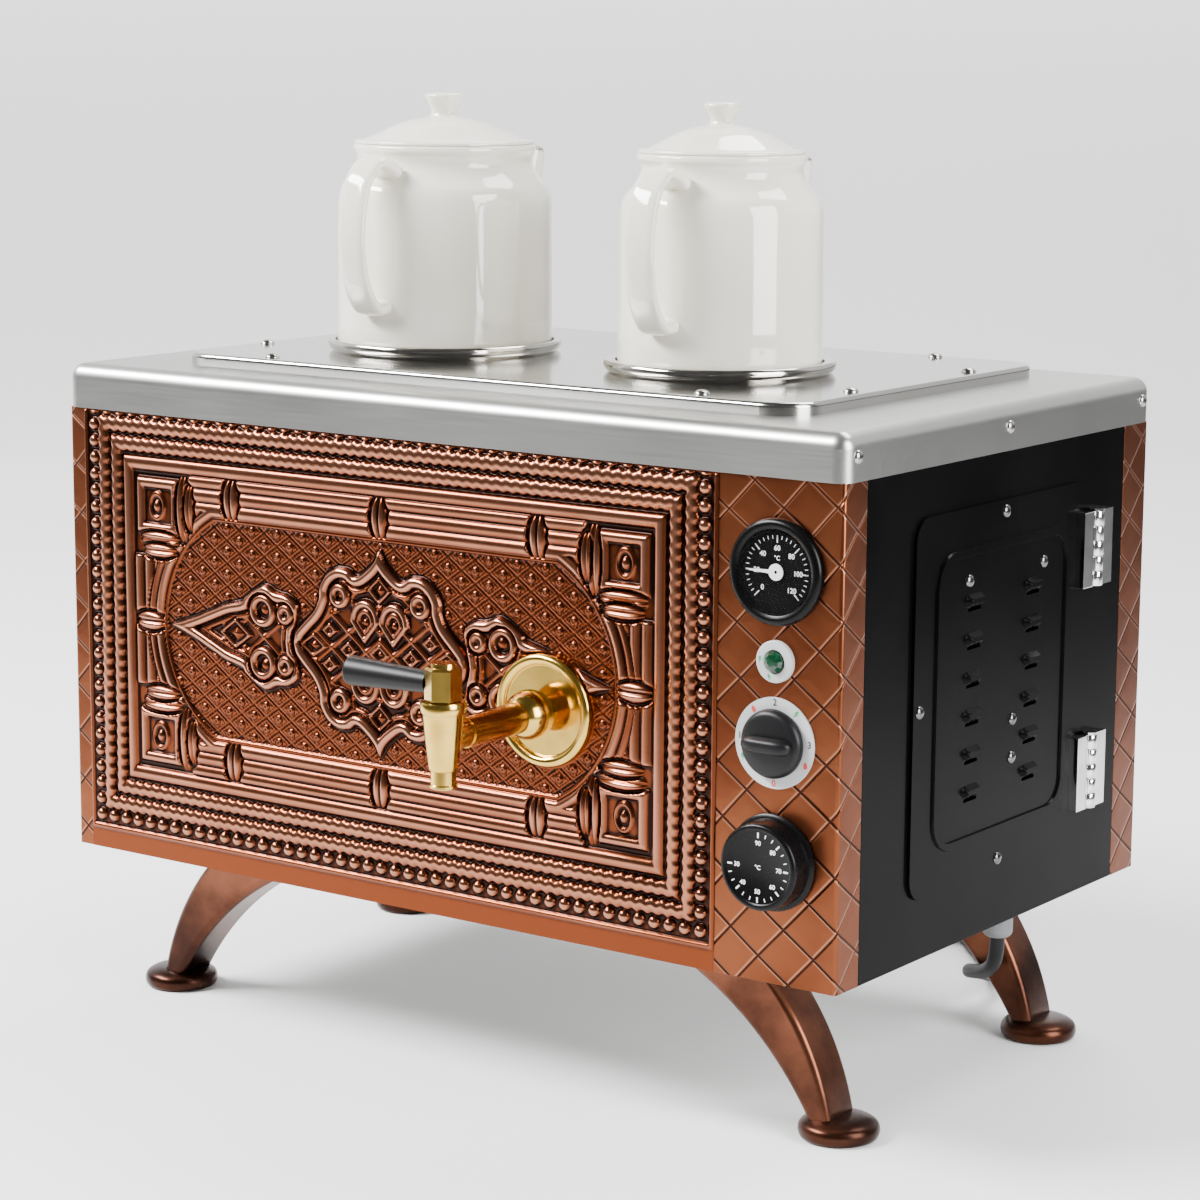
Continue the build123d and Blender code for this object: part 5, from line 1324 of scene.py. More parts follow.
@dataclass(frozen=True)
class Teapot:
    """A white pot with its strap handle, spout and lid."""

    side: str
    x: float
    body_r: float
    neck_r: float
    knob_r: float
    knob_h: float
    y: float = POT_Y
    seat: float = 368.7
    rim: float = 481.0
    wall: float = 4.0
    sides: int = 128
    handle_reach: float = 21.7
    bore_share: float = 0.66
    spout_cut: Vector = field(default_factory=lambda: Vector((0, 0.87, -0.5)))

    def build(self) -> None:
        """Make the pot and its lid in place of their CAD nodes."""
        self.body()
        self.handle()
        self.spout()
        self.lid()

    def body(self) -> None:
        """Make the turned body, with its inside."""
        tall, r, neck = self.rim - self.seat, self.body_r, self.neck_r
        mouth, well = neck - self.wall, r - self.wall
        profile = [(0.0, 0.0), (r - 4.0, 0.0), (r - 1.2, 1.2), (r, 4.5)]
        profile += [(r - 0.6 * t, 4.5 + (tall - 36.0) * t) for t in (0.25, 0.5, 0.75, 1.0)]
        profile += profile_through(
            (r - 0.6, tall - 31.5), (r - 1.2, tall - 27.5), (r - 3.0, tall - 22.5), (neck + 1.6, tall - 17.0),
            (neck - 1.2, tall - 12.5), (neck - 2.0, tall - 9.0), (neck - 1.4, tall - 5.6), (neck, tall - 3.0),
            (neck - 0.1, tall - 1.2))
        profile += [(neck - 0.7, tall - 0.2), (neck - 1.4, tall), (mouth + 0.9, tall),
                    (mouth + 0.2, tall - 0.8), (mouth, tall - 10.0), (well - 2.5, tall - 26.0),
                    (well, tall - 40.0), (well, self.wall + 5.0), (well - 4.0, self.wall + 0.6),
                    (0.0, self.wall)]
        bag = Bag()
        bag.lathe(profile, (self.x, self.y, self.seat), sides=self.sides)
        self.glazed(bag, "body", "teapot")

    def glazed(self, bag: Bag, kind: str, node: str, sharp: float = 50.0) -> None:
        """Make a glazed piece of the pot in place of its CAD node."""
        replaced = (f"{node}_{self.side}",)
        bag.piece(f"pot_{kind}_{self.side}", f"pot_{self.side}", Finishes.GLAZE, replaced, sharp)

    def handle(self) -> None:
        """Make the strap handle towards the front."""
        out = self.y - self.body_r
        top, low = self.rim - 8.0, self.seat + 24.5
        middle, half = (top + low) / 2, (top - low) / 2
        knots = [(self.y - self.neck_r + 3.0, top - 8.0), (out + 4.5, top - 2.4), (out - 4.0, top - 0.8)]
        for turn in np.linspace(0.2, 0.92, 9) * math.pi:
            bow = self.handle_reach * math.sin(turn) ** 0.85
            knots.append((out + 1.5 - bow, middle + half * math.cos(turn)))
        knots.append((out + 2.5, low + 2.4))
        path = curve_through([(self.x, *knot) for knot in knots], 6)
        count = len(path) - 1
        flare = [1.4 * abs(2 * index / count - 1) ** 4 for index in range(count + 1)]
        bag = Bag()
        bag.sweep(path, RIGHT, [8.6 + part for part in flare], [3.0 + part for part in flare], 36, 3.0)
        self.glazed(bag, "handle", "teapot_handle", 70.0)

    def spout(self) -> None:
        """Make the spout towards the back, with its bore."""
        out = self.y + self.body_r
        knots = ((out - 8.0, self.seat + 26.0), (out + 4.0, self.seat + 44.0), (out + 11.0, self.seat + 68.0),
                 (out + 16.5, self.seat + 92.0), (out + 21.0, self.rim - 5.0))
        path = curve_through([(self.x, *knot) for knot in knots], 8)
        count = len(path) - 1
        outward = range(count + 1)
        rows = []
        for order, share in ((outward, 1.0), (reversed(outward), self.bore_share)):
            for index in order:
                ahead = path[min(index + 1, count)] - path[max(index - 1, 0)]
                normal = RIGHT.cross(ahead).normalized() if index < count else self.spout_cut
                radius = (7.4 + 8.2 * (1 - index / count) ** 1.6) * share
                rows.append([path[index] + (RIGHT * math.cos(a) + normal * math.sin(a)) * radius
                             for a in round_angles(40)])
        bag = Bag()
        bag.lattice(rows)
        self.glazed(bag, "spout", "teapot_spout")

    def lid(self) -> None:
        """Make the domed lid with its knob."""
        neck, knob, centre = self.neck_r, self.knob_r, (self.x, self.y, self.rim)
        mouth, flat, top = neck - self.wall, neck - 7.0, 14.5 + self.knob_h
        under = [(0.0, 4.0), (mouth - 6.5, 0.4), (mouth - 6.1, -9.0), (mouth - 0.9, -9.0),
                 (mouth - 0.7, -0.2), (neck - 1.3, 0.1)]
        dome = [(neck - 1.3, 0.1), (neck - 0.8, 0.5), (neck - 0.8, 1.4), (neck - 1.4, 2.0)]
        dome += profile_through((flat + 2.0, 2.2), (flat, 2.8), (0.69 * neck, 6.4), (0.51 * neck, 10.4),
                                (0.32 * neck, 13.2), (0.74 * knob + 1.2, 14.4))
        dome += profile_through((0.72 * knob, 15.0), (0.66 * knob, 16.8), (0.72 * knob, 19.4),
                                (0.93 * knob, top - 3.6), (knob, top - 1.9), (0.92 * knob, top - 0.7),
                                (0.7 * knob, top - 0.2), (0.0, top))
        bag = Bag()
        bag.lathe(under, centre, sides=self.sides)
        bag.lathe(dome, centre, sides=self.sides)
        body = f"lid_{self.side}"
        bag.piece(f"{body}_dome", body, Finishes.GLAZE, (f"pot_lid_{self.side}",), 50.0)


@dataclass(frozen=True)
class PotRing:
    """A polished rolled ring that holds a pot."""

    pot: Teapot
    outer_r: float
    low: float = 367.5
    high: float = 374.5
    ledge: float = 14.0
    ledge_t: float = 1.1

    def build(self) -> None:
        """Make the ring in place of its CAD node."""
        pot, lip, tall = self.pot, self.outer_r, self.high - self.low
        inside, edge = pot.body_r + 1.1, (pot.body_r + 1.3, tall - 0.5)
        profile = profile_through(edge, (lip - 1.9, tall), (lip - 0.6, tall - 0.7), (lip, tall - 2.4),
                                  (lip - 0.5, tall - 4.3), (lip - 2.0, 0.7), (lip - 2.6, 0.0))
        profile += [(inside - self.ledge, 0.0), (inside - self.ledge, self.ledge_t), (inside, self.ledge_t),
                    (inside, tall - 1.0), edge]
        bag = Bag()
        bag.lathe(list(reversed(profile)), (pot.x, pot.y, self.low), sides=pot.sides)
        bag.piece(f"ring_{pot.side}", "cabinet", Finishes.RING, (f"pot_ring_{pot.side}",), 40.0)


@dataclass(frozen=True)
class Feet:
    """Four rounded copper feet, set out by Geometry Nodes."""

    radius: float = 20.7
    height: float = 11.9
    spread: Pair = (444.0, 208.0)

    def build(self) -> None:
        """Make the feet in place of their CAD node."""
        r = self.radius
        side = profile_through((r - 3.6, 0.0), (r - 1.2, 0.9), (r - 0.1, 3.4), (r - 0.2, 6.0), (r - 1.6, 8.4),
                               (r - 5.2, 10.4), (r - 10.5, 11.5), (0.0, self.height))
        bag = Bag()
        bag.lathe([(0.0, 0.0), *side], (0, 0, 0), sides=72)
        names = ("Spread X", "Spread Y")
        tree = Growth("feet_set_out", names)
        wide, deep = (tree.given(name) for name in names)
        grid = tree.part("GeometryNodeMeshGrid", {
            "Size X": wide, "Size Y": deep, "Vertices X": 2, "Vertices Y": 2})
        inputs = {"Points": grid, "Instance": tree.given("Geometry")}
        tree.end(tree.part("GeometryNodeInstanceOnPoints", inputs))
        sizes = {name: length * MM for name, length in zip(names, self.spread)}
        mesh = tree.grow(bag.mesh("foot"), sizes, Finishes.CAST)
        place_mesh(shaded(mesh, 40.0), "round_feet", "cabinet", Finishes.CAST, ("feet",))


@dataclass(frozen=True)
class Screws:
    """Round-headed cross-slotted screws, set by Geometry Nodes where a CAD group has them."""

    node: str
    body: str
    head_h: float
    ways: tuple[Vector, ...]
    finish: Finishes = Finishes.ZINC

    SIZES = ("Head Radius", "Head Height", "Shank Radius", "Slot Length", "Slot Width")

    @classmethod
    def tree(cls) -> Growth:
        """Return the tree of heads and shanks.

        Returns:
            The tree.
        """
        tree = Growth("cross_screws", cls.SIZES)
        radius, height, shank_r, length, width = (tree.given(size) for size in cls.SIZES)
        ball = tree.part("GeometryNodeMeshUVSphere", {"Segments": 24, "Rings": 12, "Radius": 1.0})
        place = tree.node("ShaderNodeSeparateXYZ", {0: tree.part("GeometryNodeInputPosition")})
        x, y, z = (Wire(tree, output) for output in place.outputs)
        dome = tree.part("GeometryNodeSetPosition", {
            "Geometry": ball, "Position": tree.vector(x * radius, y * radius, z.at_least(0.0) * height)})
        slots = []
        for long, short in ((length, width), (width, length)):
            cut = tree.part("GeometryNodeMeshCube", {"Size": tree.vector(long, short, height)})
            slots.append(tree.part("GeometryNodeTransform", {
                "Geometry": cut, "Translation": tree.vector(0.0, 0.0, height * 1.02)}))
        head = tree.part("GeometryNodeMeshBoolean", {0: dome, 1: tree.joined(*slots)}, operation="DIFFERENCE")
        rod = tree.part("GeometryNodeMeshCylinder", {"Vertices": 16, "Radius": shank_r, "Depth": 1.0})
        shank = tree.part("GeometryNodeTransform", {"Geometry": rod, "Translation": (0.0, 0.0, -0.5)})
        turn = tree.part("FunctionNodeAlignRotationToVector", {"Vector": tree.stored("facing")}, axis="Z")
        points = tree.given("Geometry")
        heads = tree.part("GeometryNodeInstanceOnPoints", {
            "Points": points, "Instance": head, "Rotation": turn})
        shanks = tree.part("GeometryNodeInstanceOnPoints", {
            "Points": points, "Instance": shank, "Rotation": turn, "Scale": tree.stored("stretch")})
        tree.end(tree.joined(heads, shanks))
        return tree

    def build(self, nodes: dict[str, bpy.types.Object], tree: Growth) -> None:
        """Make the screws in place of their CAD node.

        Args:
            nodes: the CAD nodes by name.
            tree: the tree of screws.
        """
        spots, facing, stretch = [], [], []
        radius, head_h = 0.0, self.head_h * MM
        for low, high in solids(nodes[self.node]):
            middle, half = (low + high) / 2, (high - low) / 2
            way = max(self.ways, key=middle.dot)
            reach = sum(abs(a) * b for a, b in zip(way, half))
            radius = sorted(half)[1] if reach > min(half) + 1e-6 else max(half)
            spots.append(middle + way * (reach - head_h))
            facing.append(way)
            stretch.append((1.0, 1.0, 2 * reach - head_h))
        cloud = bpy.data.meshes.new(self.node)
        cloud.from_pydata(spots, [], [])
        for name, values in (("facing", facing), ("stretch", stretch)):
            flat = [part for value in values for part in value]
            cloud.attributes.new(name, "FLOAT_VECTOR", "POINT").data.foreach_set("vector", flat)
        sizes = dict(zip(self.SIZES, (radius, head_h, 0.5 * radius, 1.25 * radius, 0.27 * radius)))
        mesh = tree.grow(cloud, sizes, self.finish)
        place_mesh(shaded(mesh, 40.0), f"{self.node}_round", self.body, self.finish, (self.node,))


@dataclass(frozen=True)
class Scale:
    """A round scale on the front: ticks by Geometry Nodes, numbers and marks."""

    name: str
    body: str
    z: float
    out: float
    x: float = CONTROL_X
    lift: float = 0.12

    SIZES = ("Count", "Radius", "Length", "Width", "Start", "Sweep", "Height")
    # Outlines of the signs
    BOLT = ((-0.25, 1.0), (0.45, 1.0), (0.12, 0.25), (0.55, 0.25), (-0.45, -1.0), (-0.12, -0.1),
            (-0.55, -0.1))
    DROP = tuple((0.62 * math.sin(t) * (1 - 0.35 * math.cos(t)), math.cos(t) - 0.1)
                 for t in round_angles(20))
    ARROW = ((-1.3, 0.0), (0.9, -1.1), (0.9, 1.1))

    @classmethod
    def tree(cls) -> Growth:
        """Return the tree of ticks along an arc.

        Returns:
            The tree.
        """
        tree = Growth("scale_ticks", cls.SIZES)
        count, radius, length, width, start, sweep, height = (tree.given(size) for size in cls.SIZES)
        turn = start + sweep * tree.part("GeometryNodeInputIndex") / (count - 1.0)
        middle = radius - length / 2
        where = tree.vector(tree.math("COSINE", turn) * middle, tree.math("SINE", turn) * middle, 0.0)
        spots = tree.part("GeometryNodePoints", {"Count": count, "Position": where})
        bar = tree.part("GeometryNodeMeshCube", {"Size": tree.vector(length, width, height)})
        tree.end(tree.part("GeometryNodeInstanceOnPoints", {
            "Points": spots, "Instance": bar, "Rotation": tree.vector(0.0, 0.0, turn)}))
        return tree

    def spot(self, radius: float, degrees: float) -> Matrix:
        """Return the placing of an upright mark at an angle, counted from the right, anticlockwise."""
        angle = math.radians(degrees)
        return fronting(self.x + radius * math.cos(angle), self.z + radius * math.sin(angle), self.out)

    def ticks(self, tree: Growth, label: str, count: int, radius: float, length: float, width: float,
              start: float, sweep: float) -> None:
        """Make a row of white ticks along an arc.

        Args:
            tree: the tree that makes ticks.
            label: end of the piece's name.
            count: how many ticks.
            radius: where they end.
            length: how long each is.
            width: how wide each is.
            start: angle of the first one, in degrees.
            sweep: angle from the first to the last, in degrees.
        """
        values = (count, radius, length, width, math.radians(start), math.radians(sweep), 2 * self.lift)
        mesh = tree.grow(bpy.data.meshes.new("ticks"), dict(zip(self.SIZES, values)), Finishes.INK)
        mesh.transform(Matrix.Scale(MM, 4) @ fronting(self.x, self.z, self.out))
        place_mesh(mesh, f"{self.name}_{label}", self.body, Finishes.INK)

    def print(self, label: str, marks: Sequence[tuple[str, float, float]], size: float,
              finish: Finishes) -> None:
        """Print upright words, each with its radius and angle.

        Args:
            label: end of the piece's name.
            marks: words, radius and angle of each.
            size: height of the letters' line.
            finish: the print's finish.
        """
        bag = Bag()
        for words, radius, degrees in marks:
            bag.words(words, size, self.spot(radius, degrees), self.lift)
        bag.piece(f"{self.name}_{label}", self.body, finish)

    def signs(self, label: str, outline: Sequence[Pair], places: Sequence[tuple[float, float, float]],
              size: float, finish: Finishes) -> None:
        """Print small shapes, each with its radius, angle and turn.

        Args:
            label: end of the piece's name.
            outline: corners of the shape.
            places: radius, angle and turn of each.
            size: scale of the shape.
            finish: the print's finish.
        """
        bag = Bag()
        for radius, degrees, turn in places:
            turned = Matrix.Rotation(math.radians(turn), 4, "Z") @ Matrix.Scale(size, 4)
            bag.prism(outline, self.spot(radius, degrees) @ turned, self.lift / size)
        bag.piece(f"{self.name}_{label}", self.body, finish)


@dataclass(frozen=True)
class Controls:
    """Thermometer, lamp, selector and thermostat on the quilted strip."""

    thermometer_z: float = 292.2
    lamp_z: float = 249.0
    selector_z: float = 209.3
    thermostat_z: float = 150.8
    grip_reach: float = 13.4
    plate_r: float = 19.8
    sweep: float = 270.0
    facets: int = 10

    def build(self) -> None:
        """Make all four."""
        ticks = Scale.tree()
        self.thermometer(ticks)
        self.lamp()
        self.selector()
        self.thermostat(ticks)

    @staticmethod
    def turned(profile: Sequence[Pair], z: float, sides: int = 96) -> Bag:
        """Return a profile turned about a control's axis.

        Args:
            profile: pairs of radius and distance in front of the strip.
            z: height of the axis.
            sides: points round the axis.

        Returns:
            A bag with the shape.
        """
        bag = Bag()
        bag.lathe(profile, (CONTROL_X, FRONT_Y, z), FRONT, sides)
        return bag

    def thermometer(self, ticks: Growth) -> None:
        """Make the case with its rounded bezel, and the dial's print.

        Args:
            ticks: the tree that makes ticks.
        """
        case = [(0.0, -14.0), (20.6, -14.0), (20.6, -0.02), (26.0, -0.02), (26.0, 1.6)]
        case += [(23.0 + 3.0 * math.cos(t), 1.6 + 2.9 * math.sin(t)) for t in np.linspace(0.2, 1.9, 9)]
        case += [(20.8, 3.6), (20.6, 0.2), (0.0, 0.2)]
        bag = self.turned(case, self.thermometer_z)
        bag.piece("thermometer_bezel", "cabinet", Finishes.PLASTIC, ("thermometer_case",), 40.0)
        dial = Scale("thermometer", "cabinet", self.thermometer_z, 1.02)
        zero, last = 225.0, 120
        dial.ticks(ticks, "fine_ticks", 31, 17.6, 1.7, 0.28, zero, -self.sweep)
        dial.ticks(ticks, "ticks", 7, 17.6, 3.6, 0.52, zero, -self.sweep)
        marks = [(str(value), 11.4 + 0.4 * (value > 90), zero - self.sweep * value / last)
                 for value in range(0, last + 1, 20)]
        dial.print("numbers", marks, 3.5, Finishes.INK)
        dial.print("unit", [("°C", 6.6, 90.0)], 3.0, Finishes.INK)

    def lamp(self) -> None:
        """Make the faceted jewel and the small bolts on its plate."""
        jewel = [(0.0, -22.0), (4.6, -22.0), (4.6, 2.4), (5.5, 2.4), (5.3, 3.3), (3.9, 4.9), (2.0, 5.5),
                 (0.0, 5.58)]
        bag = self.turned(jewel, self.lamp_z, self.facets)
        bag.piece("lamp_jewel", "cabinet", Finishes.GREEN, ("pilot_lens",), 4.0)
        plate = Scale("lamp", "cabinet", self.lamp_z, 2.52)
        plate.signs("bolts", Scale.BOLT, [(7.9, 176.0, 8.0), (7.9, 252.0, 30.0)], 1.5, Finishes.GREEN_INK)

    def selector(self) -> None:
        """Make the knob with its grip, and the marks on its plate."""
        dome = [(0.0, -16.4), (3.0, -16.4), (3.0, 1.4), (16.4, 1.4), (16.9, 2.0)]
        dome += [(16.9 - 3.6 * (1 - math.cos(t)), 3.2 + 3.6 * math.sin(t)) for t in np.linspace(0, 1.4, 8)]
        dome += [(9.0, 7.5), (0.0, 7.9)]
        bag = self.turned(dome, self.selector_z)
        run = np.linspace(-1, 1, 25)
        path = [Vector((CONTROL_X + self.grip_reach * t, FRONT_Y - 6.2 - 2.4 * (1 - t ** 4), self.selector_z))
                for t in run]
        swell = [max(0.12, (1 - t ** 6) ** 0.5) for t in run]
        bag.sweep(path, UP, [3.9 * part for part in swell], [4.6 * part for part in swell], 28, 2.8)
        bag.piece("selector_dome", "selector", Finishes.CHARCOAL, ("selector_knob",), 40.0)
        mark = Scale("selector_pointer", "selector", self.selector_z, 6.9)
        mark.signs("mark", Scale.ARROW, [(14.4, 180.0, 180.0)], 1.0, Finishes.INK)
        plate = Scale("selector", "cabinet", self.selector_z, 1.02)
        turns = (("1", 176.0), ("2", 90.0), ("3", 4.0))
        digits = [(digit, self.plate_r, degrees) for digit, degrees in turns]
        plate.print("digits", digits, 4.6, Finishes.BLACK_INK)
        plate.print("zero", [("0", self.plate_r, 270.0)], 4.6, Finishes.RED_INK)
        ring = self.plate_r - 0.1
        plate.signs("bolts", Scale.BOLT, [(ring, 206.0, 20.0), (ring, 52.0, -30.0)], 1.8, Finishes.GREEN_INK)
        plate.signs("drops", Scale.DROP, [(ring, 128.0, 30.0), (ring, -26.0, 0.0)], 1.7, Finishes.RED_INK)

    def thermostat(self, ticks: Growth) -> None:
        """Make the numbered knob.

        Args:
            ticks: the tree that makes ticks.
        """
        knob = [(0.0, -16.8), (3.0, -16.8), (3.0, 0.4), (23.6, 0.4), (24.0, 0.9), (24.0, 2.0), (23.4, 2.6),
                (21.9, 3.0)]
        knob += [(19.5 + 2.0 * math.cos(t), 12.7 + 2.1 * math.sin(t)) for t in np.linspace(0, 2.4, 9)]
        knob += [(17.9, 14.05), (0.0, 14.05)]
        bag = self.turned(knob, self.thermostat_z)
        bag.piece("thermostat_cap", "thermostat", Finishes.PLASTIC, ("thermostat_knob",), 40.0)
        face = Scale("thermostat", "thermostat", self.thermostat_z, 14.07)
        first, last, start = 30, 90, 180.0
        face.ticks(ticks, "ticks", 7, 17.2, 2.6, 0.8, start, self.sweep)
        for number in range(6):
            face.ticks(ticks, f"short_ticks_{number}", 2, 17.0, 1.8, 0.42, start + 15.0 + 45.0 * number, 15.0)
        marks = [(str(value), 11.9, start + self.sweep * (value - first) / (last - first))
                 for value in range(first, last + 1, 10)]
        face.print("numbers", marks, 3.2, Finishes.INK)
        face.print("unit", [("°C", 0.0, 0.0)], 3.0, Finishes.INK)


@dataclass(frozen=True)
class TapBody:
    """The tap's turned valve body, with a collar above and a lipped nozzle below."""

    y: float = -238.5
    low: float = 183.5
    tall: float = 43.0
    bore: float = 6.1
    mouth: float = 4.2
    boss_r: float = 7.2
    boss_y: float = -222.5

    def build(self) -> None:
        """Make the body in place of its CAD node."""
        h, mouth, boss_r, reach = self.tall, self.mouth, self.boss_r, self.boss_y - self.y
        outer = [(mouth, 0.0), (6.3, 0.0), (6.9, 0.5), (6.9, 1.6), (6.3, 2.2), (6.2, 8.6), (7.0, 9.2),
                 (7.3, 10.2)]
        outer += [(7.4 + 3.2 * t - 0.5 * t * t, 10.8 + (h - 18.3) * t) for t in np.linspace(0, 1, 9)]
        outer += [(10.2, h - 7.0), (10.3, h - 6.4), (11.0, h - 5.6), (11.3, h - 4.6), (11.3, h - 1.2),
                  (10.8, h - 0.2), (9.8, h), (self.bore, h), (self.bore, 14.5), (mouth, 12.0), (mouth, 0.0)]
        boss = [(0.0, 6.4), (boss_r - 0.4, 6.4), (boss_r, 9.0), (boss_r, reach - 0.4), (boss_r - 0.4, reach),
                (0.0, reach)]
        bag = Bag()
        bag.lathe(outer, (TAP_X, self.y, self.low), sides=72)
        bag.lathe(boss, (TAP_X, self.y, TAP_Z), BACK, 48)
        bag.piece("tap_valve", "cabinet", Finishes.BRASS, ("tap_body",), 30.0)


@dataclass(frozen=True)
class Lead:
    """The mains lead: out of its gland, behind the rear leg and into a coil."""

    radius: float = 4.0
    length: float = 1.558
    coil_x: float = 48.0
    coil_y: float = 262.0
    coil_r: float = 52.0
    step: float = 4.5
    low: float = 5.2
    high: float = 13.9
    entry: float = 9.0
    tail_r: float = 60.0
    half_turns: int = 9
    climb: int = 4
    parts: int = 8
    knot_share: float = 1.006

    # From the gland to the floor behind the rear leg
    RUN = ((227.0, 45.5, 70.5), (227.0, 45.5, 57.0), (213.0, 59.0, 45.0), (188.0, 83.0, 36.0),
           (178.5, 109.0, 28.0), (174.0, 135.0, 19.0), (168.0, 160.0, 10.0), (151.0, 184.0, 4.3),
           (130.0, 209.0, 4.3))

    def route(self) -> list[Point]:
        """Return the run's control points, and then the coil's, in millimetres.

        Returns:
            The points.
        """
        x, y, z, radius, way = self.coil_x + self.coil_r, self.coil_y, self.low, self.coil_r, -1
        points = [*self.RUN, (x + 13.0, y - 34.0, 4.4), (x + 4.5, y - 24.0, 4.8), (x, y - 16.0, z),
                  (x, y - 8.0, z)]
        for number in range(self.half_turns):
            span, rise = radius, z
            if number == self.climb:
                rise = self.high
            elif number == self.half_turns - 1:
                span, rise = self.tail_r, self.entry
            wide = span * self.knot_share
            for share in np.arange(self.parts) / self.parts:
                angle = math.pi * share
                points.append((x + way * (span - wide * math.cos(angle)), y - way * wide * math.sin(angle),
                               z + (rise - z) * share))
            x, z = x + way * 2 * span, rise
            radius += -self.step if number < self.climb else self.step
            way = -way
        return [*points, (x, y, z), (x, y - 8.0, z)]

    def build(self, frame: dict) -> None:
        curve = bpy.data.curves.new("mains_lead", "CURVE")
        curve.dimensions = "3D"
        points = self.route()
        spline = curve.splines.new("NURBS")
        spline.points.add(len(points) - 1)
        for knot, point in zip(spline.points, points):
            knot.co = (*(part * MM for part in point), 1.0)
        spline.order_u = 3
        spline.use_endpoint_u = True
        spline.resolution_u = 6
        curve.bevel_depth = self.radius * MM
        curve.bevel_resolution = 6
        curve.use_fill_caps = True
        curve.materials.append(Finishes.SHEATH.material)
        lead = linked("mains_lead", curve)
        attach(lead, "cabinet")
        Finishes.SHEATH.slot
        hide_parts("cord_run", "cord_coil")
        tuple(part * MM for part in points[0])
        LOG.info("%s on cabinet, %.3f m long", lead.name, self.length)


@dataclass(frozen=True)
class Studio:
    """Camera, floor and soft light."""

    eye: Point = (1049.3, -1463.0, 552.2)
    target: Point = (0.0, 0.0, 225.0)
    roll: float = 0.346
    lens: float = 99.606
    sensor: float = 36.0
    shift: Pair = (-0.00179, 0.01295)
    flat: float = 2600.0
    bend: float = 2000.0
    top: float = 5200.0
    pale: float = 0.87
    dim: float = 0.11
    backdrop: float = 0.42
    sky: float = 0.12
    aim: Point = (0.0, 0.0, 0.25)

    # Name, place and size in metres, and power of the soft boxes
    BOXES = (("key", (-1.5, -1.3, 1.9), (1.7, 0.6), 250.0), ("side", (1.75, -0.2, 0.8), (0.9, 1.2), 64.0),
             ("top", (0.3, 1.1, 2.3), (1.8, 0.9), 70.0))

    def build(self) -> None:
        """Make the camera, the floor, the lights and the world."""
        self.camera()
        self.floor()
        self.lights()

    def camera(self) -> None:
        """Make the camera at the photograph's viewpoint."""
        data = bpy.data.cameras.new("view")
        data.lens = self.lens
        data.sensor_width = self.sensor
        data.shift_x, data.shift_y = self.shift
        data.clip_end = 50.0
        camera = linked("view", data)
        eye, target = Vector(self.eye) * MM, Vector(self.target) * MM
        ahead = (target - eye).normalized()
        level = ahead.cross(UP).normalized()
        upright = level.cross(ahead)
        c, s = math.cos(math.radians(self.roll)), math.sin(math.radians(self.roll))
        right, up = level * c + upright * s, upright * c - level * s
        camera.matrix_world = Matrix.Translation(eye) @ Matrix((right, up, -ahead)).transposed().to_4x4()
        bpy.context.scene.camera = camera

    def floor(self) -> None:
        """Make the pale floor, which curves up into a wall all round."""
        graph = Graph("pale_stage")
        graph.material.cycles.emission_sampling = "NONE"
        x, y, z = graph.place()
        depth = y * 0.81 - x * 0.58
        seen = Wire(graph, graph.node("ShaderNodeLightPath").outputs["Is Camera Ray"])
        far = (x * x + y * y).ramp(800.0 ** 2, 2400.0 ** 2)
        wall = z.ramp(100.0, 1600.0) * (0.03 + 2.0 * depth.ramp(-1200.0, 3200.0))
        lit = (y.ramp(-1250.0, -420.0) * (x * 0.9 + y * 0.43).ramp(1500.0, 400.0)).at_least(seen)
        material = graph.surface(
            Base_Color=graph.mix(lit, (self.dim,) * 3, (self.pale,) * 3), Roughness=0.75,
            Specular_IOR_Level=0.1, Emission_Strength=1.0,
            Emission_Color=graph.mix(wall + seen * far * self.backdrop, (0.0, 0.0, 0.0), (1.0, 1.0, 1.0)))
        profile = [(0.0, 0.0)]
        for turn in np.linspace(0, math.pi / 2, 16):
            profile.append((self.flat + self.bend * math.sin(turn), self.bend * (1 - math.cos(turn))))
        profile.append((self.flat + self.bend, self.top))
        bag = Bag()
        bag.lathe(profile, (0, 0, 0))
        mesh = bag.mesh("stage", 60.0)
        mesh.materials.append(material)
        stage = linked("stage", mesh)

    def lights(self) -> None:
        """Make the world and the soft boxes."""
        world = bpy.data.worlds.new("studio")
        world.use_nodes = True
        back = world.node_tree.nodes["Background"]
        back.inputs["Color"].default_value = (1.0, 1.0, 1.0, 1.0)
        back.inputs["Strength"].default_value = self.sky
        bpy.context.scene.world = world
        for name, place, size, power in self.BOXES:
            light = bpy.data.lights.new(name, "AREA")
            light.shape = "RECTANGLE"
            light.size, light.size_y = size
            light.energy = power
            lamp = linked(name, light)
            lamp.location = place
            lamp.rotation_euler = (Vector(self.aim) - Vector(place)).to_track_quat("-Z", "Y").to_euler()


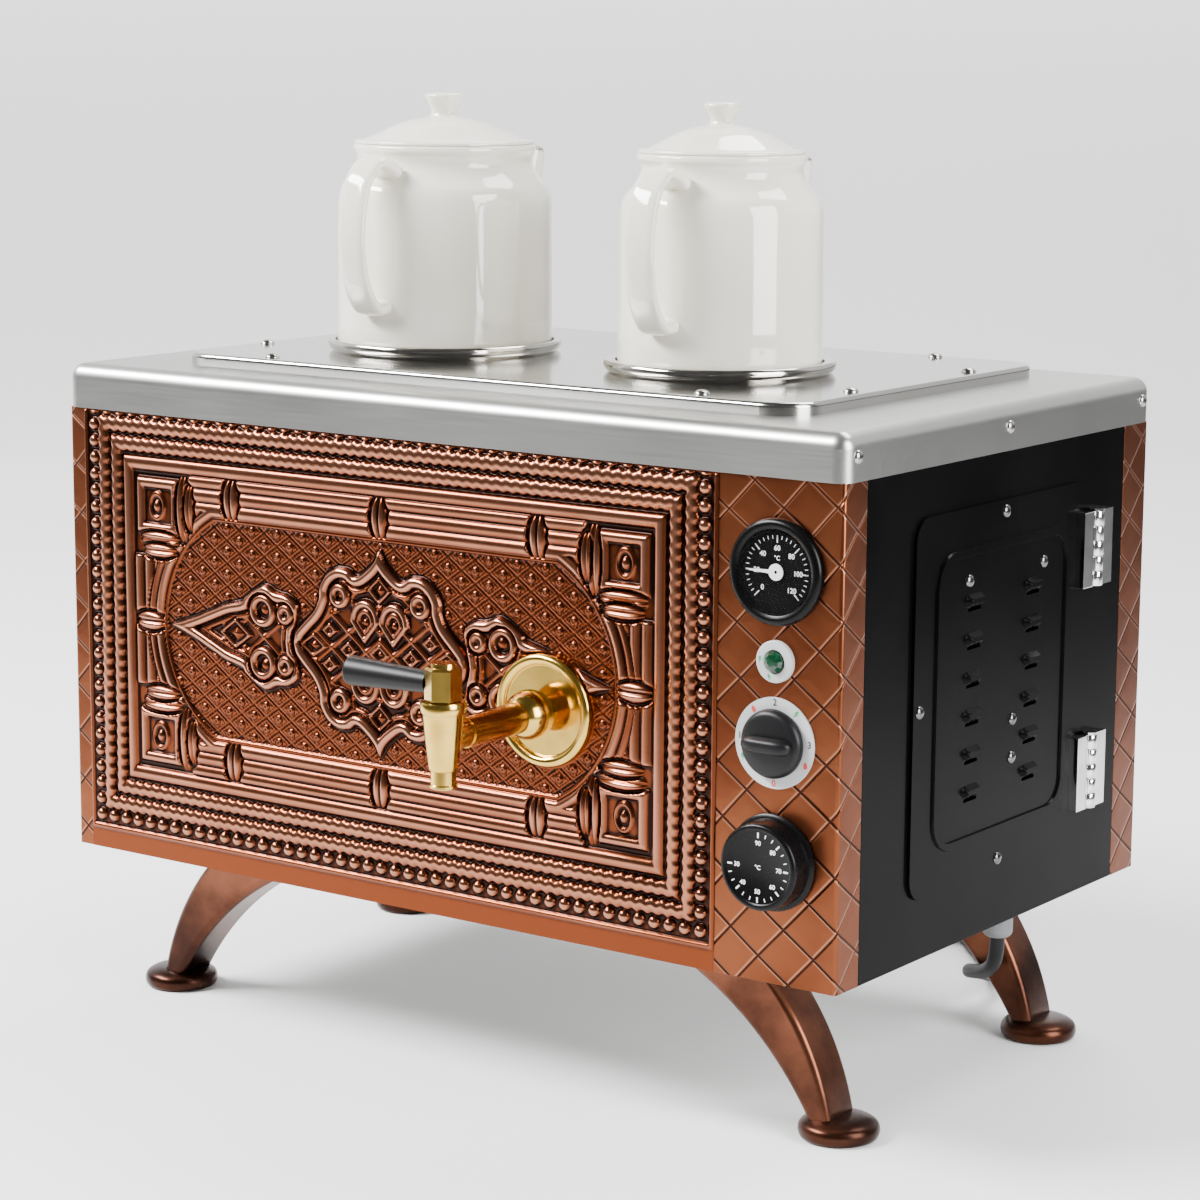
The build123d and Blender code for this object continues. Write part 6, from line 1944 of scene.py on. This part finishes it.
NODE_FINISHES: dict[Finishes, tuple[str, ...]] = {
    Finishes.QUILT: ("control_panel", "front_left_corner", "rear_corners"),
    Finishes.CAST: ("legs",),
    Finishes.TRAY: ("top_tray",),
    Finishes.COVER: ("tank_cover",),
    Finishes.TANK: ("water_tank", "base_pan", "door_liner", "heating_element"),
    Finishes.ZINC: ("leg_bolts",),
    Finishes.CHROME: ("hinge_door_leaves", "hinge_frame_leaves", "hinge_pins"),
    Finishes.BRASS: ("tap_rosette", "tap_pipe", "tap_locknut", "tap_plug", "tap_lever", "gas_pipe",
                     "gas_inlet"),
    Finishes.IRON: ("burner",),
    Finishes.BLACK: ("right_panel", "left_panel", "back_panel", "door"),
    Finishes.PLASTIC: ("selector_switch", "thermostat_body"),
    Finishes.CHARCOAL: ("tap_grip",),
    Finishes.DIAL: ("thermometer_dial",),
    Finishes.INK: ("thermometer_pointer",),
    Finishes.PLATE: ("selector_plate", "pilot_bezel"),
    Finishes.GREY: ("cable_gland",),
    Finishes.SEAL: ("cover_gasket",),
    Finishes.SHEATH: ("cord_tie",),
    Finishes.PLUG: ("mains_plug",),
    Finishes.GLASS: ("thermometer_glass",),
}

SOFTENED: tuple[str, ...] = (
    "control_panel", "front_left_corner", "rear_corners", "legs", "door", "right_panel", "hinge_door_leaves",
    "hinge_frame_leaves", "tap_plug", "tap_lever", "tap_rosette", "cable_gland", "mains_plug",
)


def soften(node: bpy.types.Object, width: float = 0.4) -> None:
    """Round a CAD node's edges a little, for the light to catch.

    Args:
        node: the node's object.
        width: how far the rounding reaches, in millimetres.
    """
    weld = node.modifiers.new("weld", "WELD")
    weld.merge_threshold = WELD * MM
    bevel = node.modifiers.new("edge", "BEVEL")
    bevel.width = width * MM
    bevel.segments = 2
    bevel.limit_method = "ANGLE"
    bevel.angle_limit = math.radians(40.0)
    bevel.harden_normals = True
    LOG.info("%s softened by %.1f mm", node.name, width)


def dress_nodes(nodes: dict[str, bpy.types.Object]) -> None:
    """Give each CAD node that stays its finish.

    Args:
        nodes: the CAD nodes by name.
    """
    for finish, names in NODE_FINISHES.items():
        for name in names:
            mesh = nodes[name].data
            mesh.materials.clear()
            mesh.materials.append(finish.material)
            LOG.info("%s stays, in %s", name, finish.name.lower())
    for name in SOFTENED:
        soften(nodes[name])


def main() -> None:
    """Load the frame and dress it."""
    logging.basicConfig(level=logging.INFO)
    bpy.ops.wm.read_factory_settings(use_empty=True)
    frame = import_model()
    Studio().build()
    Lead().build(frame)
    dress_nodes(frame["nodes"])
    left = Teapot(side="left", x=-94.0, body_r=59.4, neck_r=50.2, knob_r=10.8, knob_h=13.0)
    right = Teapot(side="right", x=89.0, body_r=53.7, neck_r=44.4, knob_r=9.6, knob_h=11.6)
    for pieces in (Relief(), left, right, PotRing(left, 64.7), PotRing(right, 61.1), Feet()):
        pieces.build()
    screw_tree = Screws.tree()
    for screws in (
        Screws("tray_screws", "cabinet", 1.8, (RIGHT, -RIGHT, BACK)),
        Screws("cover_screws", "cabinet", 2.4, (UP,)),
        Screws("door_screws", "side_door", 1.8, (RIGHT,), Finishes.DARK_ZINC),
    ):
        screws.build(frame["nodes"], screw_tree)
    Controls().build()
    TapBody().build()


if __name__ == "__main__":
    main()
